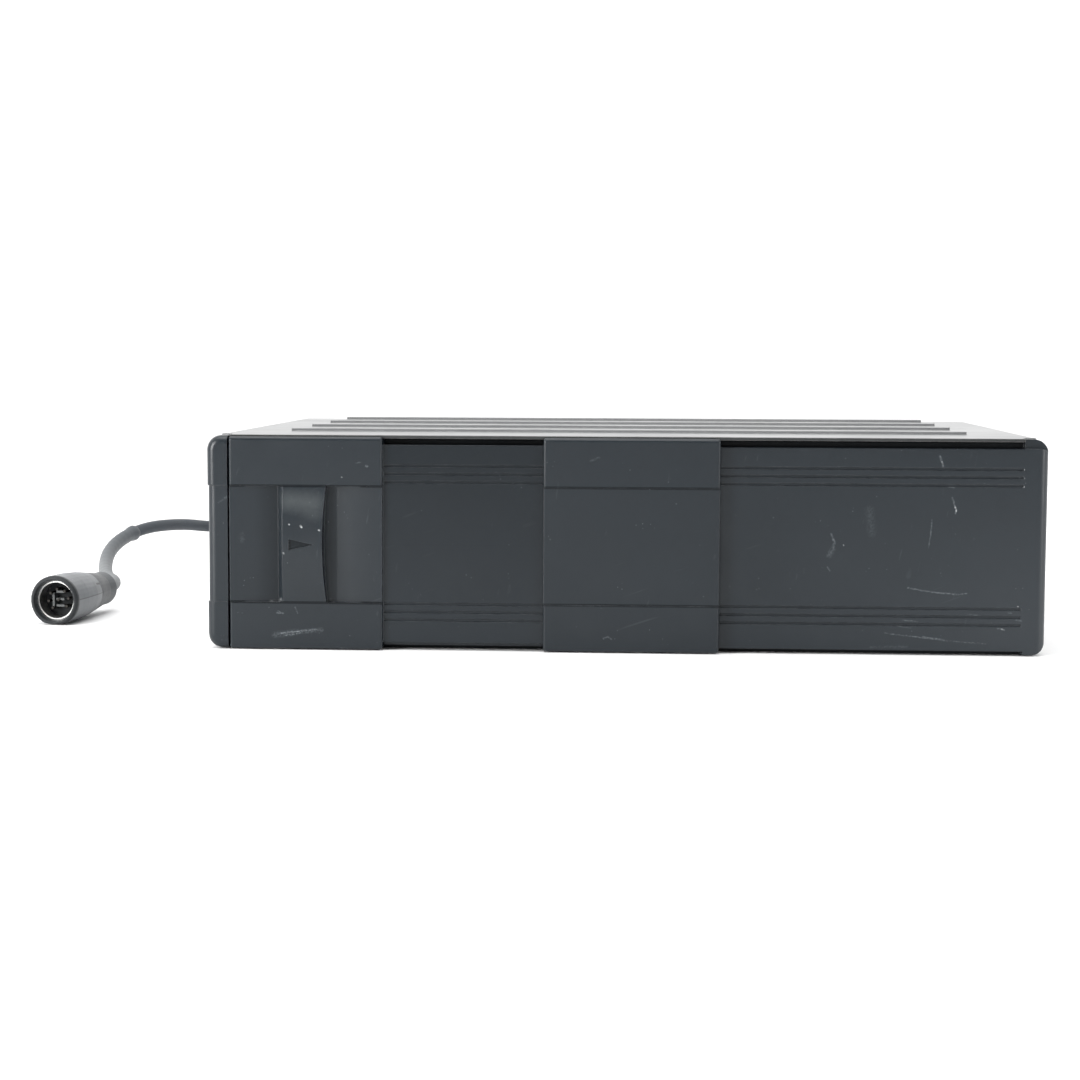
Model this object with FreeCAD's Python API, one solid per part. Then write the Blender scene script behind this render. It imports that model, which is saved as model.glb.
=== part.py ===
import FreeCAD, Part
import math
import os

# Car boot CD changer: a steel box with a moulded front, a two-stage sliding door, a six-tray
# magazine, a lifting play deck and a moulded lead with a round 8-pin plug.
# Millimetres.  X right, Y to the rear, Z up.  The origin is under the middle of the case,
# on the surface that it stands on.

V = FreeCAD.Vector

# ---------------------------------------------------------------- driving sizes
COVER_TOP = 66.5
SHEET = 1.0
CORNER_R = 4.5
RUN = 0.3

# Front moulding and door
SKIN = 1.5
PLATE_T = 1.4
PANEL_T = 2.0
BASE_T = 1.5
HOOK_T = 1.4
LIP_T = 1.2
FOOT_LIP_T = 0.8
CAP_W = 6.6
CAP_TOP = 66.3
SEAM = 0.5
GRIP_W = 47.7
PLATE_SHOWN = 49.8
PLATE_LAP = 4.0
CENTRE_W = 54.1
RAIL_END_W = 7.2
PANEL_ROUND = 3.0
DOOR_EDGE_R = 0.7
STOP_GAP = 0.4
BLOCK_TOP = 66.0
BLOCK_BOTTOM = 0.2
PLATE_TOP = 63.6
PLATE_BOTTOM = 2.3
PANEL_TOP = 63.4
PANEL_BOTTOM = 1.3
HOOK_REACH = 2.4
SKIRT_D = 14.0
BAND_BOTTOM = 14.6
BAND_STEP = 0.3
GROOVE_W = 0.8
GROOVE_DEPTH = 0.4
GROOVE_PITCH = 2.5
GROOVE_COUNT = 3
GROOVE_TOP_Z = 57.1
GROOVE_LOW_Z = 14.3
GRIP_BULGE = 1.6
BAR_LEFT = 16.7
BAR_W = 13.6
BAR_SCOOP = 1.1
RECESS_D = 2.1
RECESS_DRAFT = 1.7
RECESS_CORNER_R = 1.5
ARROW_L = 7.6
ARROW_H = 3.4
ARROW_D = 0.5
SLOT_SIDE = 0.4
TUNNEL_T = 1.4

# Cover
BEND_R = 1.8
COVER_GAP = 0.5
RIB_COUNT = 4
RIB_BACK = 13.0
RIB_W = 8.0
RIB_H = 0.9
RIB_SLOPE = 0.4
RIB_INSET = 17.5
RIB_FIRST = 35.0
FLANGE_H = 12.0

# Screws and mounts
SCREW_HEAD_R = 2.6
SCREW_HEAD_H = 1.4
SCREW_R = 1.3
SCREW_HOLE_R = 1.5
HEAD_SIDES = 12
SHANK_SIDES = 6
MOUNT_R = 2.2
MOUNT_SPAN_Y = 100.0
MOUNT_SPAN_Z = 25.0
MOUNT_LOW_Z = 12.0
NUT_W = 7.0
NUT_T = 1.2

# Magazine
MAG_WALL = 1.4
MAG_GAP = 1.4
MAG_SETBACK = 8.2
TRAY_COUNT = 6
TRAY_PITCH = 5.0
TRAY_T = 2.0
TRAY_SIDE = 1.0
TRAY_RIM = 0.8
TRAY_END = 13.2
TRAY_HEAD = 1.8
LEDGE_T = 1.0
DISC_R = 60.0
DISC_SEAT_D = 1.0
DISC_GAP = 0.8
TRAY_MOUTH = 42.0
MOUTH_SIDES = 12
SEAT_SIDES = 48
MOUTH_EDGE = 0.6
REAR_DEPTH = 34.8

# Play deck and lift
FLOAT_Z = 9.0
FLOAT_T = 1.0
DECK_T = 1.2
DECK_Z = 12.0
DECK_GAP = 8.6
DECK_D = 104.0
SPINDLE_IN = 18.1
TURNTABLE_R = 14.0
HUB_R = 7.3
ROD_R = 1.5
ROD_SPAN = 32.0
SLED_L = 16.0
LENS_R = 3.2
CAM_T = 1.0
PIN_R = 1.5
PIN_PLAY = 0.35
RACK_MODULE = 1.0
PINION_TEETH = 10
WHEEL_TEETH = 28
DRIVE_TEETH = 10
WHEEL_MODULE = 0.5
DAMPER_R = 5.0
DAMPER_IN = 21.2
HIDDEN_SIDES = 12
SPRING_R = 5.0
SPRING_WIRE = 0.7
EJECT_SPRING_R = 3.4
EJECT_SPRING_L = 5.0

# Lead and plug
CORD_R = 2.25
GLAND_R = 5.6
GLAND_NECK_R = 4.4
GLAND_TAIL = 11.0
CORD_IN = 23.5
CORD_EXIT_Z = 28.0
LEAD_SIDES = 12
GLAND_SIDES = 20
PLUG_SIDES = 32
PLUG_R = 8.5
PLUG_L = 35.0
PLUG_TAIL_R = 6.1
HOOD_L = 2.4
COLLAR_L = 9.0
COLLAR_R = 5.9
COLLAR_END_R = 4.2
SHELL_R = 6.6
SHELL_T = 0.5
SHELL_L = 8.0
PIN_WIRE_R = 0.5
INSERT_T = 2.5
PLUG_YAW = 8.0

# ---------------------------------------------------------------- places worked out from them
DISC_SEAT_R = DISC_R + DISC_GAP
MAG_W = MAG_WALL + TRAY_SIDE + TRAY_RIM + 2 * DISC_SEAT_R + TRAY_END
MAG_D = 2 * (MAG_WALL + TRAY_SIDE + TRAY_RIM + DISC_SEAT_R)
MAG_H = 2 * (MAG_WALL + TRAY_HEAD) + (TRAY_COUNT - 1) * TRAY_PITCH + TRAY_T
BAND_TOP = BAND_BOTTOM + MAG_H + 2 * MAG_GAP
GRIP_TRAVEL = PLATE_SHOWN - STOP_GAP
DOOR_OPENING = MAG_W + 2 * (MAG_GAP + SLOT_SIDE)
CENTRE_TRAVEL = DOOR_OPENING - GRIP_TRAVEL
PANEL_SHOWN = CENTRE_TRAVEL + STOP_GAP
BODY_W = CAP_W + SEAM + GRIP_W + PLATE_SHOWN + CENTRE_W + PANEL_SHOWN + RAIL_END_W
BODY_D = MAG_SETBACK + MAG_D + REAR_DEPTH
RIB_PITCH = (BODY_D - RIB_FIRST - RIB_BACK) / (RIB_COUNT - 1)
HALF_W = BODY_W / 2
FRONT = -(BODY_D + GRIP_BULGE) / 2 + GRIP_BULGE
BACK = FRONT + BODY_D
PLATE_FRONT = FRONT + SKIN + RUN
PLATE_BACK = PLATE_FRONT + PLATE_T
PANEL_FRONT = PLATE_BACK + RUN
PANEL_BACK = PANEL_FRONT + PANEL_T
HOOK_FRONT = PANEL_BACK + RUN
HOOK_BACK = HOOK_FRONT + HOOK_T
BASE_FRONT = HOOK_BACK + RUN
BEZEL_BACK = BASE_FRONT + BASE_T
SKIRT_BACK = FRONT + SKIRT_D
CAP_RIGHT = -HALF_W + CAP_W
GRIP_LEFT = CAP_RIGHT + SEAM
GRIP_RIGHT = GRIP_LEFT + GRIP_W
CENTRE_LEFT = GRIP_RIGHT + PLATE_SHOWN
CENTRE_RIGHT = CENTRE_LEFT + CENTRE_W
RAIL_END = HALF_W - RAIL_END_W
SLOT_LEFT = GRIP_LEFT + SLOT_SIDE
SLOT_RIGHT = GRIP_LEFT + DOOR_OPENING - SLOT_SIDE
COVER_UNDER = COVER_TOP - SHEET
LIP_TOP = COVER_UNDER - RUN
GROOVE_FLOOR = LIP_TOP - LIP_T - HOOK_REACH - RUN
FOOT_HOOK_TOP = BLOCK_BOTTOM + FOOT_LIP_T + HOOK_REACH
FOOT_GROOVE_TOP = FOOT_HOOK_TOP + RUN
WALL_X = HALF_W - 2.3 - SHEET
CASE_BACK = BACK - SCREW_HEAD_H
WALL_BACK = CASE_BACK - SHEET
CORD_EXIT_X = CORD_IN - HALF_W
MAG_LEFT = SLOT_LEFT + MAG_GAP
MAG_RIGHT = MAG_LEFT + MAG_W
MAG_FRONT = FRONT + MAG_SETBACK
MAG_BACK = MAG_FRONT + MAG_D
MAG_BOTTOM = BAND_BOTTOM + MAG_GAP
MAG_TOP = MAG_BOTTOM + MAG_H
MAG_MID_Y = (MAG_FRONT + MAG_BACK) / 2
TRAY_LEFT = MAG_LEFT + MAG_WALL + TRAY_SIDE
TRAY_FRONT = MAG_FRONT + MAG_WALL + TRAY_SIDE
TRAY_BACK = MAG_BACK - MAG_WALL - TRAY_SIDE
TRAY_FIRST_Z = MAG_BOTTOM + MAG_WALL + TRAY_HEAD
DISC_X = TRAY_LEFT + TRAY_RIM + DISC_SEAT_R
DECK_LEFT = MAG_RIGHT + DECK_GAP
SPINDLE_X = DECK_LEFT + SPINDLE_IN
TRAY_TRAVEL = SPINDLE_X - DISC_X
LIFT_TRAVEL = (TRAY_COUNT - 1) * TRAY_PITCH
DECK_RIGHT = WALL_X - 6.0
DECK_FRONT = MAG_MID_Y - DECK_D / 2
DECK_BACK = TRAY_BACK + 0.8
DECK_TOP = DECK_Z + DECK_T


# ---------------------------------------------------------------- shape helpers
def block(x0, x1, y0, y1, z0, z1):
    return Part.makeBox(x1 - x0, y1 - y0, z1 - z0, V(x0, y0, z0))


def rod_x(x0, x1, y, z, r):
    return Part.makeCylinder(r, x1 - x0, V(x0, y, z), V(1, 0, 0))


def rod_y(y0, y1, x, z, r):
    return Part.makeCylinder(r, y1 - y0, V(x, y0, z), V(0, 1, 0))


def rod_z(z0, z1, x, y, r):
    return Part.makeCylinder(r, z1 - z0, V(x, y, z0), V(0, 0, 1))


def join(shapes):
    first = shapes[0]
    return first.fuse(list(shapes[1:])).removeSplitter()


def take(shape, tools):
    return shape.cut(list(tools)).removeSplitter()


def corner_arc(before, corner, after, radius):
    """Start, middle and end of the arc that rounds one corner of an outline."""
    back = (before - corner).normalize()
    ahead = (after - corner).normalize()
    half = back.getAngle(ahead) / 2
    reach = radius / math.tan(half)
    centre = corner + (back + ahead).normalize() * (radius / math.sin(half))
    middle = centre + (corner - centre).normalize() * radius
    return corner + back * reach, middle, corner + ahead * reach


def outline(corners, place):
    """Flat face through (u, v) or (u, v, radius) corners; place turns u and v into a point."""
    points = [place(c[0], c[1]) for c in corners]
    radii = [c[2] if len(c) > 2 else 0 for c in corners]
    edges = []
    ends = []
    for i, point in enumerate(points):
        if radii[i] > 0:
            start, middle, end = corner_arc(points[i - 1], point, points[(i + 1) % len(points)], radii[i])
            edges.append((start, Part.Arc(start, middle, end).toShape()))
            ends.append((start, end))
        else:
            edges.append((point, None))
            ends.append((point, point))
    chain = []
    for i in range(len(points)):
        if edges[i][1] is not None:
            chain.append(edges[i][1])
        here = ends[i][1]
        following = ends[(i + 1) % len(points)][0]
        if here.distanceToPoint(following) > 1e-6:
            chain.append(Part.LineSegment(here, following).toShape())
    return Part.Face(Part.Wire(chain))


def prism_x(corners, x0, x1):
    """Profile in Y and Z, drawn out along X."""
    return outline(corners, lambda y, z: V(x0, y, z)).extrude(V(x1 - x0, 0, 0))


def prism_y(corners, y0, y1):
    """Profile in X and Z, drawn out along Y."""
    return outline(corners, lambda x, z: V(x, y0, z)).extrude(V(0, y1 - y0, 0))


def prism_z(corners, z0, z1):
    """Profile in X and Y, drawn out along Z."""
    return outline(corners, lambda x, y: V(x, y, z0)).extrude(V(0, 0, z1 - z0))


def ring_corners(u, v, radius, sides):
    """Corners of a regular outline around (u, v); radius reaches its corners."""
    step = 2 * math.pi / sides
    angles = [(i + 0.5) * step for i in range(sides)]
    return [(u + radius * math.cos(a), v + radius * math.sin(a)) for a in angles]


def bar_x(x0, x1, y, z, r, sides=HIDDEN_SIDES):
    return prism_x(ring_corners(y, z, r, sides), x0, x1)


def bar_y(y0, y1, x, z, r, sides=HIDDEN_SIDES):
    return prism_y(ring_corners(x, z, r, sides), y0, y1)


def bar_z(z0, z1, x, y, r, sides=HIDDEN_SIDES):
    return prism_z(ring_corners(x, y, r, sides), z0, z1)


def spun(profile, sides, place):
    """Many-sided turned piece: a stack of frusta through (radius, height) pairs, from the lowest up."""
    layers = []
    for (r0, h0), (r1, h1) in zip(profile, profile[1:]):
        if near(h0, h1):
            continue
        rings = []
        for r, h in ((r0, h0), (r1, h1)):
            corners = [place(u, v, h) for u, v in ring_corners(0, 0, r, sides)]
            rings.append(Part.makePolygon(corners + corners[:1]))
        layers.append(Part.makeLoft(rings, True, True))
    return join(layers) if len(layers) > 1 else layers[0]


def box_corners(u0, u1, v0, v1, r=0):
    return [(u0, v0, r), (u1, v0, r), (u1, v1, r), (u0, v1, r)]


def soften(shape, radius, chosen):
    """Round the edges that the test chosen(bounds) picks."""
    edges = [e for e in shape.Edges if chosen(e.BoundBox)]
    return shape.makeFillet(radius, edges)


def near(a, b):
    return abs(a - b) < 0.01


# ---------------------------------------------------------------- case
def side_mounts():
    """(y, z) of the four bracket holes on each side."""
    half = MOUNT_SPAN_Y / 2
    return [(y, z) for y in (-half, half) for z in (MOUNT_LOW_Z, MOUNT_LOW_Z + MOUNT_SPAN_Z)]


DIAL_Y = 0.0
SIDE_SCREW_IN_FRONT = 24.0
SIDE_SCREW_IN_BACK = 16.0
REAR_SCREW_IN = 36.5
DIAL_Z = MOUNT_LOW_Z + MOUNT_SPAN_Z / 2
DIAL_R = 9.0
DIAL_T = 1.4
DIAL_HUB_R = 5.0
SIDE_OUT = WALL_X + SHEET
SIDE_SCREW_Z = 4.5
SIDE_FLANGE_H = 7.6
SIDE_SCREW_YS = (FRONT + SIDE_SCREW_IN_FRONT, BACK - SIDE_SCREW_IN_BACK)
REAR_SCREW_XS = (-HALF_W + REAR_SCREW_IN, HALF_W - REAR_SCREW_IN)
REAR_SCREW_Z = COVER_TOP - 7.0
SNAP_XS = (GRIP_LEFT + 6.4, CENTRE_RIGHT + 14.8, RAIL_END - 10.0)
SNAP_W = 6.0
SNAP_T = 1.2
SNAP_ZS = (6.4, COVER_TOP - 5.6)
TRANSIT_XS = (-60.0, 88.0)
TRANSIT_Y = -30.0
BUTTON_TRAVEL = 2.5
BUTTON_SINK = 0.4
BUTTON_X0 = HALF_W - 132.0
BUTTON_X1 = BUTTON_X0 + 16.0
BUTTON_Z0 = 54.6
BUTTON_Z1 = 60.2
STEM_W = 4.0
STEM_X = (BUTTON_X0 + BUTTON_X1) / 2
STEM_Z0 = 55.2
STEM_Z1 = 58.0
BUTTON_T = BEZEL_BACK - PANEL_FRONT - BUTTON_SINK - BUTTON_TRAVEL - RUN
VENT_COUNT = 7
VENT_PITCH = 6.0
VENT_W = 2.2
VENT_X = HALF_W - 58.5
VENT_Z0 = 20.0
VENT_Z1 = 44.0
WINDOW_EDGE = 1.9


def snap_window(x, z):
    """Opening in the front wall for one snap hook of the front moulding."""
    half = SNAP_W / 2 + RUN
    return block(x - half, x + half, BEZEL_BACK - 1, BEZEL_BACK + SHEET + 1, z - SNAP_T - RUN, z + SNAP_T + RUN)


def snap_hook(x, z):
    """Springy tongue with a barb that catches behind the front wall; its barb points outwards in Z."""
    up = 1 if z > COVER_TOP / 2 else -1
    wall = BEZEL_BACK + SHEET + 0.1
    profile = [(BASE_FRONT, z - up * SNAP_T), (BASE_FRONT, z), (wall, z), (wall, z + up * SNAP_T),
               (wall + 2.2, z - up * 0.4), (wall + 2.2, z - up * SNAP_T)]
    return prism_x(profile, x - SNAP_W / 2, x + SNAP_W / 2)


def side_holes(radius):
    """Cutters for the bracket holes, right through both side walls."""
    return [rod_x(-HALF_W, HALF_W, y, z, radius) for y, z in side_mounts()]


def make_bottom_chassis():
    front = BEZEL_BACK
    back = WALL_BACK
    wall_top = LIP_TOP
    floor = block(-WALL_X, WALL_X, front, back, 0, SHEET)
    nose = block(-WALL_X + BEND_R, WALL_X - BEND_R, front, front + SHEET, 0, wall_top)
    rear = block(-WALL_X + BEND_R, WALL_X - BEND_R, back - SHEET, back, 0, wall_top)
    left = block(-WALL_X, -WALL_X + SHEET, front, back, 0, SIDE_FLANGE_H)
    right = block(WALL_X - SHEET, WALL_X, front, back, 0, SIDE_FLANGE_H)
    case = join([floor, nose, rear, left, right])
    window = block(SLOT_LEFT - WINDOW_EDGE, SLOT_RIGHT + WINDOW_EDGE, front - 1, front + SHEET + 1,
                   BAND_BOTTOM - WINDOW_EDGE, BAND_TOP + WINDOW_EDGE)
    stem = block(STEM_X - STEM_W / 2 - RUN, STEM_X + STEM_W / 2 + RUN, front - 1, front + SHEET + 1,
                 STEM_Z0 - RUN, STEM_Z1 + RUN)
    cutters = [window, stem]
    cutters += [bar_x(-HALF_W, HALF_W, y, SIDE_SCREW_Z, SCREW_HOLE_R, SHANK_SIDES) for y in SIDE_SCREW_YS]
    cutters += [bar_y(back - SHEET - 1, back + 1, x, REAR_SCREW_Z, SCREW_HOLE_R, SHANK_SIDES)
                for x in REAR_SCREW_XS]
    cutters += [snap_window(x, z) for x in SNAP_XS for z in SNAP_ZS]
    cutters += [bar_y(back - SHEET - 1, back + 1, CORD_EXIT_X, CORD_EXIT_Z, GLAND_NECK_R, GLAND_SIDES)]
    cutters += [bar_z(-1, SHEET + 1, x, TRANSIT_Y, MOUNT_R) for x in TRANSIT_XS]
    for i in range(VENT_COUNT):
        x = VENT_X + (i - (VENT_COUNT - 1) / 2) * VENT_PITCH
        slot = box_corners(x - VENT_W / 2, x + VENT_W / 2, VENT_Z0, VENT_Z1)
        cutters.append(prism_y(slot, back - SHEET - 1, back + 1))
    return take(case, cutters)


def make_top_cover():
    """Folded lid: top, two sides, a rear flange and a tongue over the door rail."""
    outer = WALL_X + SHEET
    inner_r = BEND_R - SHEET
    lower = SHEET / 2
    profile = [(-outer, lower), (-outer, COVER_TOP, BEND_R), (outer, COVER_TOP, BEND_R), (outer, lower),
               (WALL_X, lower), (WALL_X, COVER_UNDER, inner_r), (-WALL_X, COVER_UNDER, inner_r),
               (-WALL_X, lower)]
    hood = prism_y(profile, SKIRT_BACK + RUN, CASE_BACK)
    tongue = block(CAP_RIGHT + RUN, RAIL_END - RUN, FRONT + SKIN + COVER_GAP, SKIRT_BACK + RUN,
                   COVER_UNDER, COVER_TOP)
    shoulder = block(-WALL_X, WALL_X, BEZEL_BACK + RUN, SKIRT_BACK + RUN, COVER_UNDER, COVER_TOP)
    flange = block(-WALL_X, WALL_X, WALL_BACK, CASE_BACK, COVER_UNDER - FLANGE_H, COVER_UNDER)
    pieces = [hood, tongue, shoulder, flange]
    half = WALL_X - RIB_INSET
    for i in range(RIB_COUNT):
        y0 = FRONT + RIB_FIRST + i * RIB_PITCH
        rib = prism_x([(y0, COVER_TOP), (y0 + RIB_W, COVER_TOP), (y0 + RIB_W - RIB_H, COVER_TOP + RIB_H),
                       (y0 + RIB_SLOPE, COVER_TOP + RIB_H)], -half, half)
        pieces.append(rib)
    shell = join(pieces)
    cutters = side_holes(MOUNT_R)
    cutters += [rod_x(-HALF_W, HALF_W, DIAL_Y, DIAL_Z, DIAL_HUB_R + RUN)]
    cutters += [bar_x(-HALF_W, HALF_W, y, SIDE_SCREW_Z, SCREW_HOLE_R, SHANK_SIDES) for y in SIDE_SCREW_YS]
    cutters += [bar_y(WALL_BACK - 1, CASE_BACK + 1, x, REAR_SCREW_Z, SCREW_HOLE_R, SHANK_SIDES)
                for x in REAR_SCREW_XS]
    for i in range(RIB_COUNT):
        y0 = FRONT + RIB_FIRST + i * RIB_PITCH + SHEET
        y1 = y0 + RIB_W - 2 * SHEET
        cutters.append(block(-half + SHEET, half - SHEET, y0, y1, COVER_UNDER - 1, COVER_UNDER + RIB_H))
    return take(shell, cutters)


def make_front_bezel():
    """One moulding: end posts, fixed right panel, rail grooves and the magazine mouth."""
    full = [(-HALF_W, 0, CORNER_R), (HALF_W, 0, CORNER_R), (HALF_W, CAP_TOP, CORNER_R),
            (-HALF_W, CAP_TOP, CORNER_R)]
    base = prism_y(full, BASE_FRONT, BEZEL_BACK)
    base = base.cut(block(CAP_RIGHT, RAIL_END, BASE_FRONT - 1, BEZEL_BACK + 1, LIP_TOP, CAP_TOP + 1))
    rear_window = block(SLOT_RIGHT + 8, RAIL_END - 8, BASE_FRONT - 1, BEZEL_BACK + 1, 12, 54)
    base = base.cut(rear_window)
    panel_face = [(CAP_RIGHT, PANEL_BOTTOM), (RAIL_END + RUN, PANEL_BOTTOM), (RAIL_END + RUN, 0.2),
                  (HALF_W, 0.2, CORNER_R), (HALF_W, PANEL_TOP, PANEL_T), (CAP_RIGHT, PANEL_TOP)]
    panel = prism_y(panel_face, PANEL_FRONT, PANEL_BACK)
    right_end = prism_y([(RAIL_END, 0), (HALF_W, 0, CORNER_R), (HALF_W, CAP_TOP, CORNER_R), (RAIL_END, CAP_TOP)],
                        PANEL_BACK, SKIRT_BACK)
    post_face = [(-HALF_W, 0, CORNER_R), (CAP_RIGHT, 0), (CAP_RIGHT, CAP_TOP), (-HALF_W, CAP_TOP, CORNER_R)]
    post = prism_y(post_face, FRONT, SKIRT_BACK)
    post = soften(post, 2.6, lambda b: near(b.YMax, FRONT) and b.XMin < CAP_RIGHT - 1)
    band = block(-HALF_W - 1, CAP_RIGHT + 1, FRONT - 1, SKIRT_BACK + 1, BAND_BOTTOM, BAND_TOP)
    inner = post.copy()
    inner.translate(V(BAND_STEP, BAND_STEP, 0))
    inner = inner.common(post).common(band)
    post = post.cut(band)
    shelf_low = block(CAP_RIGHT, RAIL_END, PANEL_BACK, BASE_FRONT, FOOT_GROOVE_TOP, FOOT_GROOVE_TOP + BASE_T)
    shelf_top = block(CAP_RIGHT, RAIL_END, PANEL_BACK, BASE_FRONT, GROOVE_FLOOR - BASE_T, GROOVE_FLOOR)
    tunnel = block(SLOT_LEFT - TUNNEL_T, SLOT_RIGHT + TUNNEL_T, PANEL_FRONT, BEZEL_BACK + SHEET,
                   BAND_BOTTOM - TUNNEL_T, BAND_TOP + TUNNEL_T)
    hooks = [snap_hook(x, z) for x in SNAP_XS for z in SNAP_ZS]
    body = join([base, panel, right_end, post, inner, shelf_low, shelf_top, tunnel])
    case_room = block(-WALL_X - RUN, WALL_X + RUN, BEZEL_BACK, SKIRT_BACK + 1, -1, CAP_TOP + 1)
    case_room = case_room.cut(block(SLOT_LEFT - TUNNEL_T, SLOT_RIGHT + TUNNEL_T, BEZEL_BACK, BEZEL_BACK + SHEET,
                                    BAND_BOTTOM - TUNNEL_T, BAND_TOP + TUNNEL_T))
    mouth = block(SLOT_LEFT, SLOT_RIGHT, PANEL_FRONT - 1, BEZEL_BACK + SHEET + 1, BAND_BOTTOM, BAND_TOP)
    button = block(BUTTON_X0 - RUN, BUTTON_X1 + RUN, PANEL_FRONT - 1, BEZEL_BACK + 1,
                   BUTTON_Z0 - RUN, BUTTON_Z1 + RUN)
    rail_room = block(CAP_RIGHT, RAIL_END, PANEL_BACK, BASE_FRONT, -1, FOOT_GROOVE_TOP)
    edge = prism_z([(HALF_W - PANEL_ROUND, PANEL_FRONT, 0), (HALF_W, PANEL_FRONT, PANEL_ROUND),
                    (HALF_W, PANEL_FRONT + PANEL_ROUND, 0), (HALF_W + 1, PANEL_FRONT + PANEL_ROUND),
                    (HALF_W + 1, PANEL_FRONT - 1), (HALF_W - PANEL_ROUND, PANEL_FRONT - 1)], -1, PANEL_TOP)
    cutters = [case_room, mouth, button, rail_room, edge]
    cutters += groove_cutters(CENTRE_LEFT, RAIL_END - 0.4, PANEL_FRONT)
    return join([take(body, cutters)] + hooks)


# ---------------------------------------------------------------- door
def groove_cutters(x0, x1, face_y):
    """The two sets of fine grooves that run along the door and the fixed panel."""
    tools = []
    for top in (GROOVE_TOP_Z, GROOVE_LOW_Z):
        for i in range(GROOVE_COUNT):
            z = top - i * GROOVE_PITCH
            tools.append(block(x0, x1, face_y - 1, face_y + GROOVE_DEPTH, z - GROOVE_W / 2, z + GROOVE_W / 2))
    return tools


def door_profile():
    """Front skin with a lip and a hook at the top and the foot, in Y and Z."""
    lip_under = LIP_TOP - LIP_T
    foot_top = BLOCK_BOTTOM + FOOT_LIP_T
    return [(FRONT, BLOCK_BOTTOM, 0.5), (FRONT, BLOCK_TOP, 1.2), (FRONT + SKIN, BLOCK_TOP),
            (FRONT + SKIN, LIP_TOP),
            (HOOK_BACK, LIP_TOP), (HOOK_BACK, lip_under - HOOK_REACH), (HOOK_FRONT, lip_under - HOOK_REACH),
            (HOOK_FRONT, lip_under), (FRONT + SKIN, lip_under), (FRONT + SKIN, foot_top),
            (HOOK_FRONT, foot_top), (HOOK_FRONT, FOOT_HOOK_TOP), (HOOK_BACK, FOOT_HOOK_TOP),
            (HOOK_BACK, BLOCK_BOTTOM)]


def front_upright(b):
    """True for a tall edge on the front plane."""
    return near(b.YMin, FRONT) and near(b.YMax, FRONT) and b.ZLength > BAND_TOP


def make_centre_slider():
    skin = prism_x(door_profile(), CENTRE_LEFT, CENTRE_RIGHT)
    skin = soften(skin, DOOR_EDGE_R, front_upright)
    step = block(CENTRE_LEFT - 1, CENTRE_RIGHT + 1, FRONT - 1, FRONT + BAND_STEP, BAND_BOTTOM, BAND_TOP)
    return take(skin, [step])


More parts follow.
